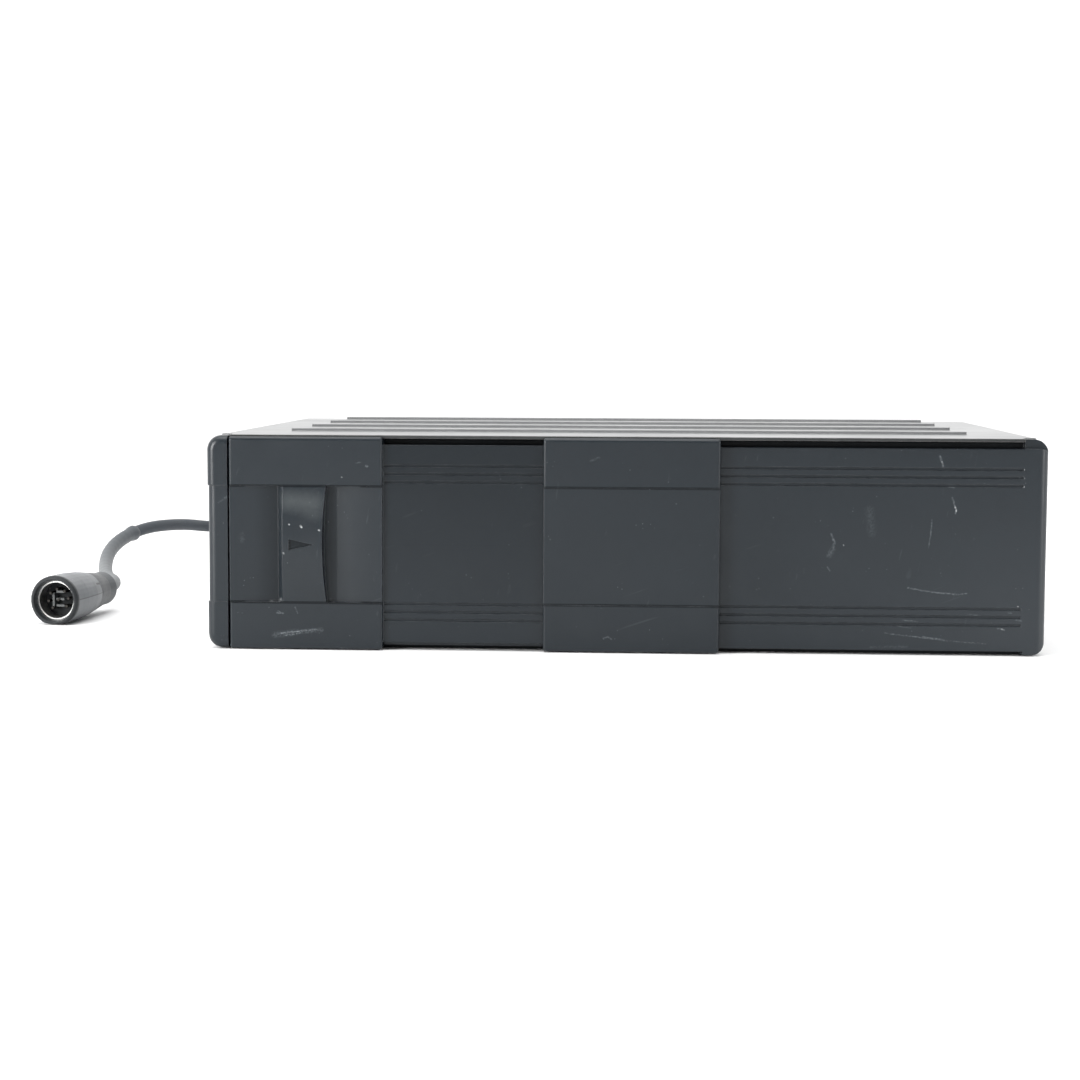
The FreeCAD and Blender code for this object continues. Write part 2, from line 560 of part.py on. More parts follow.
def make_grip_door():
    """Grip block with an H-shaped finger recess and the plate that runs behind the centre block."""
    skin = prism_x(door_profile(), GRIP_LEFT, GRIP_RIGHT)
    skin = soften(skin, DOOR_EDGE_R, front_upright)
    wall = TUNNEL_T
    backing = block(GRIP_LEFT + RUN, GRIP_RIGHT - RUN, FRONT + SKIN, PLATE_BACK, BAND_BOTTOM - wall,
                    BAND_TOP + wall)
    plate = block(GRIP_RIGHT - 2.0, CENTRE_LEFT + PLATE_LAP, PLATE_FRONT, PLATE_BACK, PLATE_BOTTOM, PLATE_TOP)
    web = block(GRIP_RIGHT - 2.0, GRIP_RIGHT, FRONT + SKIN, PLATE_BACK, PLATE_BOTTOM, PLATE_TOP)
    bar_left = GRIP_LEFT + BAR_LEFT
    bar_right = bar_left + BAR_W
    mid_z = (BAND_BOTTOM + BAND_TOP) / 2
    bulge_face = Part.Face(Part.Wire([
        Part.Arc(V(bar_left, FRONT, BAND_BOTTOM), V(bar_left, FRONT - GRIP_BULGE, mid_z),
                 V(bar_left, FRONT, BAND_TOP)).toShape(),
        Part.LineSegment(V(bar_left, FRONT, BAND_TOP), V(bar_left, FRONT + 1, BAND_TOP)).toShape(),
        Part.LineSegment(V(bar_left, FRONT + 1, BAND_TOP), V(bar_left, FRONT + 1, BAND_BOTTOM)).toShape(),
        Part.LineSegment(V(bar_left, FRONT + 1, BAND_BOTTOM), V(bar_left, FRONT, BAND_BOTTOM)).toShape()]))
    bulge = bulge_face.extrude(V(BAR_W, 0, 0))
    body = join([skin, backing, plate, web, bulge])

    slope = prism_z([(GRIP_LEFT - 1, FRONT - 3), (GRIP_LEFT - 1, FRONT + BAND_STEP),
                     (bar_left - RECESS_DRAFT, FRONT + RECESS_D), (bar_left, FRONT), (bar_left, FRONT - 3)],
                    BAND_BOTTOM, BAND_TOP)
    left_frame = prism_y([(GRIP_LEFT - 1, BAND_BOTTOM), (bar_left, BAND_BOTTOM, RECESS_CORNER_R),
                          (bar_left, BAND_TOP, RECESS_CORNER_R), (GRIP_LEFT - 1, BAND_TOP)],
                         FRONT - 3, FRONT + RECESS_D)
    left_recess = slope.common(left_frame)

    far = GRIP_RIGHT + 1
    deep = FRONT + RECESS_D
    rise = [V(bar_right + 3.0, deep, BAND_BOTTOM), V(bar_right + 7.5, deep - 0.75, BAND_BOTTOM),
            V(far, FRONT + BAND_STEP, BAND_BOTTOM)]
    path = [V(bar_right - 2, FRONT - 3, BAND_BOTTOM), V(bar_right - 2, deep, BAND_BOTTOM), rise[0]]
    edges = [Part.LineSegment(path[0], path[1]).toShape(), Part.LineSegment(path[1], path[2]).toShape(),
             Part.Arc(*rise).toShape(), Part.LineSegment(rise[2], V(far, FRONT - 3, BAND_BOTTOM)).toShape(),
             Part.LineSegment(V(far, FRONT - 3, BAND_BOTTOM), path[0]).toShape()]
    concave = Part.Face(Part.Wire(edges)).extrude(V(0, 0, BAND_TOP - BAND_BOTTOM))
    low = V(bar_right, FRONT - 3, BAND_BOTTOM)
    high = V(bar_right, FRONT - 3, BAND_TOP)
    scoop = [Part.Arc(low, V(bar_right - BAR_SCOOP, FRONT - 3, mid_z), high).toShape(),
             Part.LineSegment(high, V(far, FRONT - 3, BAND_TOP)).toShape(),
             Part.LineSegment(V(far, FRONT - 3, BAND_TOP), V(far, FRONT - 3, BAND_BOTTOM)).toShape(),
             Part.LineSegment(V(far, FRONT - 3, BAND_BOTTOM), low).toShape()]
    right_frame = Part.Face(Part.Wire(scoop)).extrude(V(0, 3 + RECESS_D, 0))
    right_recess = concave.common(right_frame)

    arrow_x = bar_left + 2.2
    arrow = prism_y([(arrow_x, mid_z - ARROW_H / 2), (arrow_x + ARROW_L, mid_z), (arrow_x, mid_z + ARROW_H / 2)],
                    FRONT - 3, FRONT - GRIP_BULGE + ARROW_D)
    cutters = [left_recess, right_recess, arrow]
    cutters += groove_cutters(GRIP_RIGHT + RUN, CENTRE_LEFT + PLATE_LAP + 1, PLATE_FRONT)
    return take(body, cutters)


# ---------------------------------------------------------------- eject train
LEVER_Z = 54.7
LEVER_T = 1.2
PIVOT_X = MAG_RIGHT + 5.6
PIVOT_Y = BEZEL_BACK + 12.0
PUSH_ARM = 16.0
LATCH_ARM = 32.0
LATCH_Y = PIVOT_Y + LATCH_ARM
LATCH_X = MAG_RIGHT - 2.4
LATCH_R = 1.4
BRACKET_T = 1.2
BRACKET_Z = LEVER_Z - RUN - BRACKET_T


def make_eject_button():
    face = PANEL_FRONT + BUTTON_SINK
    back = face + BUTTON_T
    pad = prism_y(box_corners(BUTTON_X0, BUTTON_X1, BUTTON_Z0, BUTTON_Z1, 0.8), face, back)
    stem = block(STEM_X - STEM_W / 2, STEM_X + STEM_W / 2, back, PIVOT_Y - 5.3, STEM_Z0, STEM_Z1)
    return join([pad, stem])


def make_eject_spring():
    """Return spring on the button stem, as a sleeve of the coil's size."""
    return sleeve(V(STEM_X, BEZEL_BACK + SHEET, (STEM_Z0 + STEM_Z1) / 2), V(0, 1, 0), EJECT_SPRING_R, EJECT_SPRING_L)


def sleeve(start, along, outer_r, length):
    """A coil spring's outline: a tube with a wall as thick as its wire."""
    outer = prism_z(ring_corners(0, 0, outer_r, HIDDEN_SIDES), 0, length)
    tube_wall = outer.cut(prism_z(ring_corners(0, 0, outer_r - SPRING_WIRE, HIDDEN_SIDES), -1, length + 1))
    tube_wall.Placement = FreeCAD.Placement(start, FreeCAD.Rotation(V(0, 0, 1), along))
    return tube_wall


def make_latch_bracket():
    """Folded bracket on the front wall; it carries the eject lever above the magazine."""
    wall = BEZEL_BACK + SHEET
    shelf = block(STEM_X + 5, PIVOT_X + 5, wall, PIVOT_Y + 5, BRACKET_Z, BRACKET_Z + BRACKET_T)
    tab = block(PIVOT_X - 3, PIVOT_X + 5, wall, wall + BRACKET_T, BRACKET_Z, BRACKET_Z + 8)
    pivot = rod_z(BRACKET_Z, LEVER_Z + LEVER_T + 0.8, PIVOT_X, PIVOT_Y, 1.5)
    return join([shelf, tab, pivot])


def make_eject_lever():
    """Bell crank: the button pushes one arm, the other swings its pin out of the magazine notch."""
    arm_x = PIVOT_X - PUSH_ARM
    plan = [(arm_x - 3, PIVOT_Y - 5.0, 1), (PIVOT_X + 3.4, PIVOT_Y - 5.0, 3), (PIVOT_X + 3.4, PIVOT_Y + 6, 2),
            (LATCH_X + 3.0, LATCH_Y + 3, 2), (LATCH_X - 2.6, LATCH_Y + 3, 2), (PIVOT_X - 5, PIVOT_Y + 2),
            (arm_x - 3, PIVOT_Y - 1.5, 1)]
    plate = prism_z(plan, LEVER_Z, LEVER_Z + LEVER_T)
    pin = rod_z(MAG_TOP - MAG_WALL - 0.4, LEVER_Z, LATCH_X, LATCH_Y, LATCH_R)
    bore = rod_z(LEVER_Z - 1, LEVER_Z + LEVER_T + 1, PIVOT_X, PIVOT_Y, 1.5 + 0.05)
    return take(join([plate, pin]), [bore])


# ---------------------------------------------------------------- magazine
def make_magazine_shell():
    """Case open on its right side, with runner ledges for the trays and a notch for the latch."""
    outer = prism_z(box_corners(MAG_LEFT, MAG_RIGHT, MAG_FRONT, MAG_BACK, 2.0), MAG_BOTTOM, MAG_TOP)
    room = block(MAG_LEFT + MAG_WALL, MAG_RIGHT + 1, MAG_FRONT + MAG_WALL, MAG_BACK - MAG_WALL,
                 MAG_BOTTOM + MAG_WALL, MAG_TOP - MAG_WALL)
    notch = block(LATCH_X - LATCH_R - 0.6, MAG_RIGHT + 1, LATCH_Y - 3, LATCH_Y + 3,
                  MAG_TOP - MAG_WALL - 1, MAG_TOP + 1)
    thumb = prism_y(box_corners(MAG_LEFT + 50, MAG_LEFT + 88, MAG_BOTTOM + 9, MAG_TOP - 9, 4), MAG_FRONT - 1,
                    MAG_FRONT + 0.7)
    body = take(outer, [room, notch, thumb])
    ledges = []
    for i in range(TRAY_COUNT):
        z = TRAY_FIRST_Z + i * TRAY_PITCH - RUN
        under = z - LEDGE_T if i > 0 else MAG_BOTTOM + MAG_WALL
        for y0, y1 in ((MAG_FRONT + MAG_WALL, TRAY_FRONT + 2.5), (TRAY_BACK - 2.5, MAG_BACK - MAG_WALL)):
            ledges.append(block(MAG_LEFT + MAG_WALL, MAG_RIGHT - 4, y0, y1, under, z))
    return join([body] + ledges)


def make_tray(index):
    """Thin carrier with a disc seat and a mouth that lets the spindle and pickup in."""
    z0 = TRAY_FIRST_Z + index * TRAY_PITCH
    right = MAG_RIGHT - RUN
    plate = block(TRAY_LEFT, right, TRAY_FRONT, TRAY_BACK, z0, z0 + TRAY_T)
    seat = bar_z(z0 + TRAY_T - DISC_SEAT_D, z0 + TRAY_T + 1, DISC_X, MAG_MID_Y, DISC_SEAT_R, SEAT_SIDES)
    half = TRAY_MOUTH / 2
    mouth = prism_z(ring_corners(DISC_X, MAG_MID_Y, half, MOUTH_SIDES), z0 - 1, z0 + TRAY_T + 1)
    lane = block(DISC_X, right + 1, MAG_MID_Y - half + MOUTH_EDGE, MAG_MID_Y + half - MOUTH_EDGE, z0 - 1,
                 z0 + TRAY_T + 1)
    return take(plate, [seat, mouth, lane])


BAY_T = 1.2
BAY_FLOOR = MAG_BOTTOM - RUN - BAY_T
BAY_LEFT = MAG_LEFT - RUN - BAY_T
BAY_RIGHT = MAG_RIGHT + RUN
BAY_FRONT = BEZEL_BACK + SHEET + 1.4


def make_magazine_bay():
    """Guide that the magazine slides in: floor, left wall with a top lip, rear stop and feet."""
    back = MAG_BACK + 0.6
    foot = FLOAT_Z + FLOAT_T
    floor = block(BAY_LEFT, BAY_RIGHT + BAY_T, BAY_FRONT, back + BAY_T, BAY_FLOOR, BAY_FLOOR + BAY_T)
    wall = block(BAY_LEFT, BAY_LEFT + BAY_T, BAY_FRONT, back + BAY_T, foot, MAG_TOP + RUN + BAY_T)
    lip = block(BAY_LEFT, BAY_LEFT + 7, BAY_FRONT, back + BAY_T, MAG_TOP + RUN, MAG_TOP + RUN + BAY_T)
    stop = block(BAY_LEFT, BAY_RIGHT - 20, back, back + BAY_T, BAY_FLOOR, MAG_TOP + RUN + BAY_T)
    leg = block(BAY_RIGHT, BAY_RIGHT + BAY_T, BAY_FRONT, back + BAY_T, foot, BAY_FLOOR + BAY_T)
    body = join([floor, wall, lip, stop, leg])
    window = prism_z(box_corners(MAG_LEFT + 18, MAG_RIGHT - 18, BAY_FRONT + 18, back - 18, 6), BAY_FLOOR - 1,
                     BAY_FLOOR + BAY_T + 1)
    return take(body, [window])


# ---------------------------------------------------------------- suspended frame and lift
REAR_WALL_Y = DECK_BACK + 0.8
CAM_Y = REAR_WALL_Y + FLOAT_T + RUN
SIDE_WALL_X = DECK_RIGHT + 0.8
CAM_X = SIDE_WALL_X + FLOAT_T + RUN
REAR_PIN_XS = (DECK_LEFT + 25.0, DECK_LEFT + 60.0)
SIDE_PIN_YS = (BAY_FRONT + LIFT_TRAVEL + 4.6, BAY_FRONT + LIFT_TRAVEL + 50.6)
PIN_Z = DECK_Z + 3.0
CAM_EDGE = 4.0
CAM_BOTTOM = FLOAT_Z + FLOAT_T + RUN
CAM_TOP = PIN_Z + LIFT_TRAVEL + 7.0
WALL_TOP = CAM_TOP + 12.0
DAMPERS = [(x, y) for x in (DAMPER_IN - WALL_X, WALL_X - DAMPER_IN) for y in (BAY_FRONT + 6.5, MAG_BACK - 8.0)]
SPRINGS = [(x, y) for x in (BAY_LEFT + SPRING_R + 0.6, SIDE_WALL_X - SPRING_R - 0.6) for y in (DAMPERS[0][1] + 16.0,)]


def make_float_frame():
    """Sheet frame under the mechanism; its rear and right walls guide the deck pins."""
    z1 = FLOAT_Z + FLOAT_T
    base = block(BAY_LEFT, SIDE_WALL_X + FLOAT_T, BAY_FRONT, CAM_Y - RUN, FLOAT_Z, z1)
    pit = block(DECK_LEFT - 2, SIDE_WALL_X, DECK_FRONT + 6, DECK_BACK - 12, FLOAT_Z - 1, z1 + 1)
    rear = block(DECK_LEFT - 3, SIDE_WALL_X + FLOAT_T, REAR_WALL_Y, REAR_WALL_Y + FLOAT_T, FLOAT_Z, WALL_TOP)
    side = block(SIDE_WALL_X, SIDE_WALL_X + FLOAT_T, BAY_FRONT, REAR_WALL_Y + FLOAT_T, FLOAT_Z, CAM_TOP)
    body = join([base, rear, side])
    cutters = [pit]
    reach = PIN_R + PIN_PLAY
    low = PIN_Z - reach
    high = PIN_Z + LIFT_TRAVEL + reach
    for x in REAR_PIN_XS:
        cutters.append(prism_y(box_corners(x - reach, x + reach, low, high, reach - 0.01), REAR_WALL_Y - 1,
                               REAR_WALL_Y + FLOAT_T + 1))
    for y in SIDE_PIN_YS:
        cutters.append(prism_x(box_corners(y - reach, y + reach, low, high, reach - 0.01), SIDE_WALL_X - 1,
                               SIDE_WALL_X + FLOAT_T + 1))
    cutters += [rod_y(REAR_WALL_Y - 1, REAR_WALL_Y + FLOAT_T + 1, WHEEL_X, WHEEL_Z, AXLE_R + 0.05)]
    cutters += [rod_y(REAR_WALL_Y - 1, REAR_WALL_Y + FLOAT_T + 1, LIFT_MOTOR_X, WHEEL_Z, 1.6)]
    return take(body, cutters)


def cam_corners(left, right, teeth):
    """Outline of a cam slide: plain, or with rack teeth along its top edge."""
    if not teeth:
        return [(left, CAM_BOTTOM), (right, CAM_BOTTOM), (right, CAM_TOP), (left, CAM_TOP)]
    corners = [(left, CAM_BOTTOM), (right, CAM_BOTTOM), (right, CAM_TOP)]
    pitch = math.pi * RACK_MODULE
    count = int(LIFT_TRAVEL / pitch) + 3
    first = WHEEL_X + pitch
    for i in range(count):
        centre = first - i * pitch
        corners += [(centre + 0.30 * pitch, CAM_TOP), (centre + 0.13 * pitch, CAM_TOP + 1.7 * RACK_MODULE),
                    (centre - 0.13 * pitch, CAM_TOP + 1.7 * RACK_MODULE), (centre - 0.30 * pitch, CAM_TOP)]
    corners.append((left, CAM_TOP))
    return corners


def cam_slot(pin, place_prism, near_face, far_face):
    """Sloped slot that lifts a deck pin by as much as the slide moves."""
    reach = PIN_R + PIN_PLAY
    step = reach * math.sqrt(2)
    low_u = pin
    high_u = pin - LIFT_TRAVEL
    z0 = PIN_Z
    z1 = PIN_Z + LIFT_TRAVEL
    corners = [(low_u + step, z0, reach - 0.02), (low_u, z0 - step, reach - 0.02),
               (high_u - step, z1, reach - 0.02), (high_u, z1 + step, reach - 0.02)]
    return place_prism(corners, near_face - 1, far_face + 1)


def make_lift_cam_rear():
    left = REAR_PIN_XS[0] - LIFT_TRAVEL - CAM_EDGE
    right = REAR_PIN_XS[1] + CAM_EDGE
    plate = prism_y(cam_corners(left, right, True), CAM_Y, CAM_Y + CAM_T)
    slots = [cam_slot(x, prism_y, CAM_Y, CAM_Y + CAM_T) for x in REAR_PIN_XS]
    return take(plate, slots)


def make_lift_cam_side():
    front = SIDE_PIN_YS[0] - LIFT_TRAVEL - CAM_EDGE
    back = SIDE_PIN_YS[1] + CAM_EDGE
    plate = prism_x(cam_corners(front, back, False), CAM_X, CAM_X + CAM_T)
    slots = [cam_slot(y, prism_x, CAM_X, CAM_X + CAM_T) for y in SIDE_PIN_YS]
    return take(plate, slots)


AXLE_R = 1.2
PINION_R = PINION_TEETH * RACK_MODULE / 2
WHEEL_R = WHEEL_TEETH * WHEEL_MODULE / 2
DRIVE_R = DRIVE_TEETH * WHEEL_MODULE / 2
WHEEL_X = REAR_PIN_XS[0] + 12.0
WHEEL_Z = CAM_TOP + 1.0 * RACK_MODULE + PINION_R
LIFT_MOTOR_X = WHEEL_X + WHEEL_R + DRIVE_R
PINION_Y = CAM_Y
WHEEL_Y = CAM_Y + CAM_T + 0.8
WHEEL_T = 2.0
LIFT_MOTOR_R = 6.0
LIFT_MOTOR_L = 14.0


def gear(centre_x, centre_z, teeth, module, y0, y1, phase, add=0.8, dedent=1.1):
    """Spur gear about an axis along Y; phase is the angle of its first tooth."""
    pitch_r = teeth * module / 2
    step = 2 * math.pi / teeth
    root = pitch_r - dedent * module
    tip = pitch_r + add * module
    corners = []
    for i in range(teeth):
        middle = phase + i * step
        for radius, share in ((root, -0.30), (tip, -0.11), (tip, 0.11), (root, 0.30)):
            angle = middle + share * step
            corners.append((centre_x + radius * math.cos(angle), centre_z + radius * math.sin(angle)))
    return prism_y(corners, y0, y1)


def make_lift_gear():
    """Large wheel and small pinion on one axle; the pinion drives the rack."""
    phase_small = -math.pi / 2 + math.pi / PINION_TEETH
    small = gear(WHEEL_X, WHEEL_Z, PINION_TEETH, RACK_MODULE, PINION_Y, WHEEL_Y, phase_small)
    large = gear(WHEEL_X, WHEEL_Z, WHEEL_TEETH, WHEEL_MODULE, WHEEL_Y, WHEEL_Y + WHEEL_T, 0.0)
    axle = rod_y(REAR_WALL_Y - 0.6, WHEEL_Y + WHEEL_T + 1.0, WHEEL_X, WHEEL_Z, AXLE_R)
    return join([small, large, axle])


def make_drive_pinion():
    phase = math.pi + math.pi / DRIVE_TEETH
    teeth = gear(LIFT_MOTOR_X, WHEEL_Z, DRIVE_TEETH, WHEEL_MODULE, WHEEL_Y - 0.2, WHEEL_Y + WHEEL_T + 0.2, phase)
    return take(teeth, [rod_y(WHEEL_Y - 1, WHEEL_Y + WHEEL_T + 1, LIFT_MOTOR_X, WHEEL_Z, 0.9)])


def make_lift_motor():
    """Can motor on the inner face of the rear wall; its shaft passes through the wall."""
    can = rod_y(REAR_WALL_Y - LIFT_MOTOR_L, REAR_WALL_Y, LIFT_MOTOR_X, WHEEL_Z, LIFT_MOTOR_R)
    flat = block(LIFT_MOTOR_X - 10, LIFT_MOTOR_X + 10, REAR_WALL_Y - 20, REAR_WALL_Y + 1, WHEEL_Z + 4.8, WHEEL_Z + 10)
    low = flat.copy()
    low.translate(V(0, 0, -14.8))
    shaft = rod_y(REAR_WALL_Y - 1, WHEEL_Y + WHEEL_T + 0.6, LIFT_MOTOR_X, WHEEL_Z, 0.85)
    return join([take(can, [flat, low]), shaft])


def make_dampers():
    """Oil-filled rubber cups between the case floor and the suspended frame."""
    return Part.makeCompound([prism_z(ring_corners(x, y, DAMPER_R, HIDDEN_SIDES), SHEET, FLOAT_Z) for x, y in DAMPERS])


def make_suspension_springs():
    """One coil spring below each side dial, from the case floor to the suspended frame."""
    return Part.makeCompound([sleeve(V(x, y, SHEET), V(0, 0, 1), SPRING_R, FLOAT_Z - SHEET) for x, y in SPRINGS])


# ---------------------------------------------------------------- play deck
ROD_Z = DECK_Z - 2.6
ROD_YS = (MAG_MID_Y - ROD_SPAN / 2, MAG_MID_Y + ROD_SPAN / 2)
ROD_X0 = SPINDLE_X + 15.0
ROD_X1 = DECK_RIGHT - 1.0
SLED_X0 = ROD_X0 + 4.0
LENS_X = SLED_X0 + 7.0
SCREW_Y = ROD_YS[1] + 8.0
SCREW_X1 = ROD_X1 - 9.0
SLED_MOTOR_R = 4.5
TURNTABLE_TOP = TRAY_FIRST_Z + 0.7
CLAMP_Z = TRAY_FIRST_Z + TRAY_T + 4.4
CLAMP_T = 1.0
CLAMP_X = DECK_RIGHT - 5.0
CLAMP_LUG_Y = 18.0
CLAMP_PIN_R = 1.2
PUCK_R = 11.0
PUCK_T = 2.6
PUCK_DROP = 3.2
PUCK_WAIST_R = 4.0


def make_deck_plate():
    """Pressed deck: plate with folded rims, windows, rod seats, clamp lugs and lift pins."""
    plate = block(DECK_LEFT, DECK_RIGHT, DECK_FRONT, DECK_BACK, DECK_Z, DECK_TOP)
    rims = [block(DECK_LEFT, DECK_RIGHT, DECK_FRONT, DECK_FRONT + DECK_T, DECK_Z - 1.6, DECK_Z + 4),
            block(DECK_LEFT, DECK_RIGHT, DECK_BACK - DECK_T, DECK_BACK, DECK_Z - 1.6, DECK_Z + 5),
            block(DECK_RIGHT - DECK_T, DECK_RIGHT, DECK_FRONT, DECK_BACK, DECK_Z - 1.6, DECK_Z + 5)]
    lugs = []
    for side in (-1, 1):
        y = MAG_MID_Y + side * CLAMP_LUG_Y
        lug = prism_y([(CLAMP_X - 4, DECK_Z), (DECK_RIGHT, DECK_Z), (DECK_RIGHT, CLAMP_Z + 3),
                       (CLAMP_X - 4, CLAMP_Z + 3)], y - DECK_T / 2, y + DECK_T / 2)
        lugs.append(lug)
    pins = [bar_y(DECK_BACK - 1, CAM_Y + CAM_T + 0.6, x, PIN_Z, PIN_R) for x in REAR_PIN_XS]
    pins += [bar_x(DECK_RIGHT - 1, CAM_X + CAM_T + 0.6, y, PIN_Z, PIN_R) for y in SIDE_PIN_YS]
    seats = []
    for y in ROD_YS:
        for x in (ROD_X0, ROD_X1 - 3.0):
            seats.append(block(x, x + 3.0, y - 3.0, y + 3.0, ROD_Z - 2.2, DECK_Z))
    body = join([plate] + rims + lugs + pins + seats)
    window = prism_z(box_corners(SLED_X0 - 1.5, ROD_X1 - 4.5, ROD_YS[0] + 5, ROD_YS[1] - 5), DECK_Z - 1, DECK_TOP + 1)
    hub = rod_z(DECK_Z - 1, DECK_TOP + 1, SPINDLE_X, MAG_MID_Y, 4.0)
    front_window = prism_z(box_corners(DECK_LEFT + 8, DECK_RIGHT - 10, DECK_FRONT + 6, ROD_YS[0] - 8), DECK_Z - 1,
                           DECK_TOP + 1)
    rear_window = prism_z(box_corners(DECK_LEFT + 8, DECK_RIGHT - 10, SCREW_Y + 8, DECK_BACK - 8), DECK_Z - 1,
                          DECK_TOP + 1)
    rods = [bar_x(ROD_X0 - 1, ROD_X1 + 0.2, y, ROD_Z, ROD_R + 0.02) for y in ROD_YS]
    pivot = [bar_y(MAG_MID_Y - 40, MAG_MID_Y + 40, CLAMP_X, CLAMP_Z - 0.5, CLAMP_PIN_R + 0.05)]
    return take(body, [window, hub, front_window, rear_window] + rods + pivot)


def make_spindle_motor():
    """Flat disc motor under the deck with its bearing collar in the deck hole."""
    can = prism_z(ring_corners(SPINDLE_X, MAG_MID_Y, 11.0, 2 * HIDDEN_SIDES), DECK_Z - 5.2, DECK_Z)
    base = block(SPINDLE_X - 14, SPINDLE_X + 12, MAG_MID_Y - 12, MAG_MID_Y + 12, DECK_Z - 1.0, DECK_Z)
    collar = rod_z(DECK_Z, DECK_TOP + 0.6, SPINDLE_X, MAG_MID_Y, 3.6)
    bore = rod_z(DECK_Z - 4.0, DECK_TOP + 2, SPINDLE_X, MAG_MID_Y, 1.0 + 0.02)
    return take(join([can, base, collar]), [bore])


def make_turntable():
    """Turntable with its disc rest, tapered hub and shaft."""
    top = TURNTABLE_TOP
    low = DECK_TOP + 0.9
    shaft = bar_z(DECK_Z - 3.6, low, SPINDLE_X, MAG_MID_Y, 1.0)
    table = bar_z(low, top, SPINDLE_X, MAG_MID_Y, TURNTABLE_R, 3 * HIDDEN_SIDES)
    hub = spun([(HUB_R, top), (HUB_R, top + 1.2), (HUB_R - 1.8, top + 2.2)], 2 * HIDDEN_SIDES,
               lambda u, v, h: V(SPINDLE_X + u, MAG_MID_Y + v, h))
    return join([shaft, table, hub])


def make_guide_rods():
    return Part.makeCompound([bar_x(ROD_X0, ROD_X1, y, ROD_Z, ROD_R) for y in ROD_YS])


def make_pickup_sled():
    """Cast sled: round bushes on one rod, an open fork on the other and a nut arm."""
    x1 = SLED_X0 + SLED_L
    body = block(SLED_X0, x1, ROD_YS[0] - 3, ROD_YS[1] + 3, ROD_Z - 3.0, ROD_Z + 2.2)
    arm = block(SLED_X0, SLED_X0 + 4, ROD_YS[1] + 2, SCREW_Y + 3.0, ROD_Z - 3.0, ROD_Z + 2.2)
    head = prism_z(box_corners(SLED_X0 + 1.5, SLED_X0 + 12.5, MAG_MID_Y - 6.5, MAG_MID_Y + 6.5), ROD_Z + 2.0, DECK_TOP + 0.4)
    fork = block(SLED_X0 - 1, x1 + 1, ROD_YS[0] - 4, ROD_YS[0] + ROD_R + 0.05, ROD_Z - ROD_R - 0.05,
                 ROD_Z + ROD_R + 0.05)
    bore = bar_x(SLED_X0 - 1, x1 + 1, ROD_YS[1], ROD_Z, ROD_R + 0.06)
    nut = rod_x(SLED_X0 - 1, SLED_X0 + 5, SCREW_Y, ROD_Z, ROD_R + 0.05)
    belly = block(SLED_X0 + 2, x1 - 2, ROD_YS[0] + 5, ROD_YS[1] - 5, ROD_Z - 4, ROD_Z - 0.5)
    socket = bar_z(ROD_Z, DECK_TOP + 2, LENS_X, MAG_MID_Y, LENS_R)
    return take(join([body, arm, head]), [fork, bore, nut, belly, socket])


def make_pickup_lens():
    """Domed lens in a stepped holder."""
    top = DECK_TOP + 1.0
    holder = bar_z(ROD_Z, top - 0.6, LENS_X, MAG_MID_Y, LENS_R)
    dome = spun([(LENS_R - 0.9, top - 0.6), (LENS_R - 1.3, top - 0.25), (LENS_R - 2.4, top)], HIDDEN_SIDES,
                lambda u, v, h: V(LENS_X + u, MAG_MID_Y + v, h))
    return join([holder, dome])


def make_leadscrew():
    """Feed screw beside the rods; it turns in the motor and pulls the sled by its nut arm."""
    worm = rod_x(ROD_X0 + 0.2, SCREW_X1, SCREW_Y, ROD_Z, ROD_R)
    journal = rod_x(SCREW_X1, SCREW_X1 + 4, SCREW_Y, ROD_Z, ROD_R - 0.4)
    return join([worm, journal])


def make_sled_motor():
    x0 = SCREW_X1 + 0.4
    can = rod_x(x0, ROD_X1 - 0.2, SCREW_Y, ROD_Z, SLED_MOTOR_R)
    bore = rod_x(x0 - 1, SCREW_X1 + 4.2, SCREW_Y, ROD_Z, ROD_R - 0.35)
    strap = block(x0 + 1, x0 + 4, SCREW_Y - SLED_MOTOR_R, SCREW_Y + SLED_MOTOR_R + 2.0, DECK_Z - 0.8, DECK_Z)
    return take(join([can, strap]).cut(block(x0 - 1, ROD_X1 + 1, SCREW_Y - 8, SCREW_Y + 8, DECK_Z, DECK_Z + 9)), [bore])


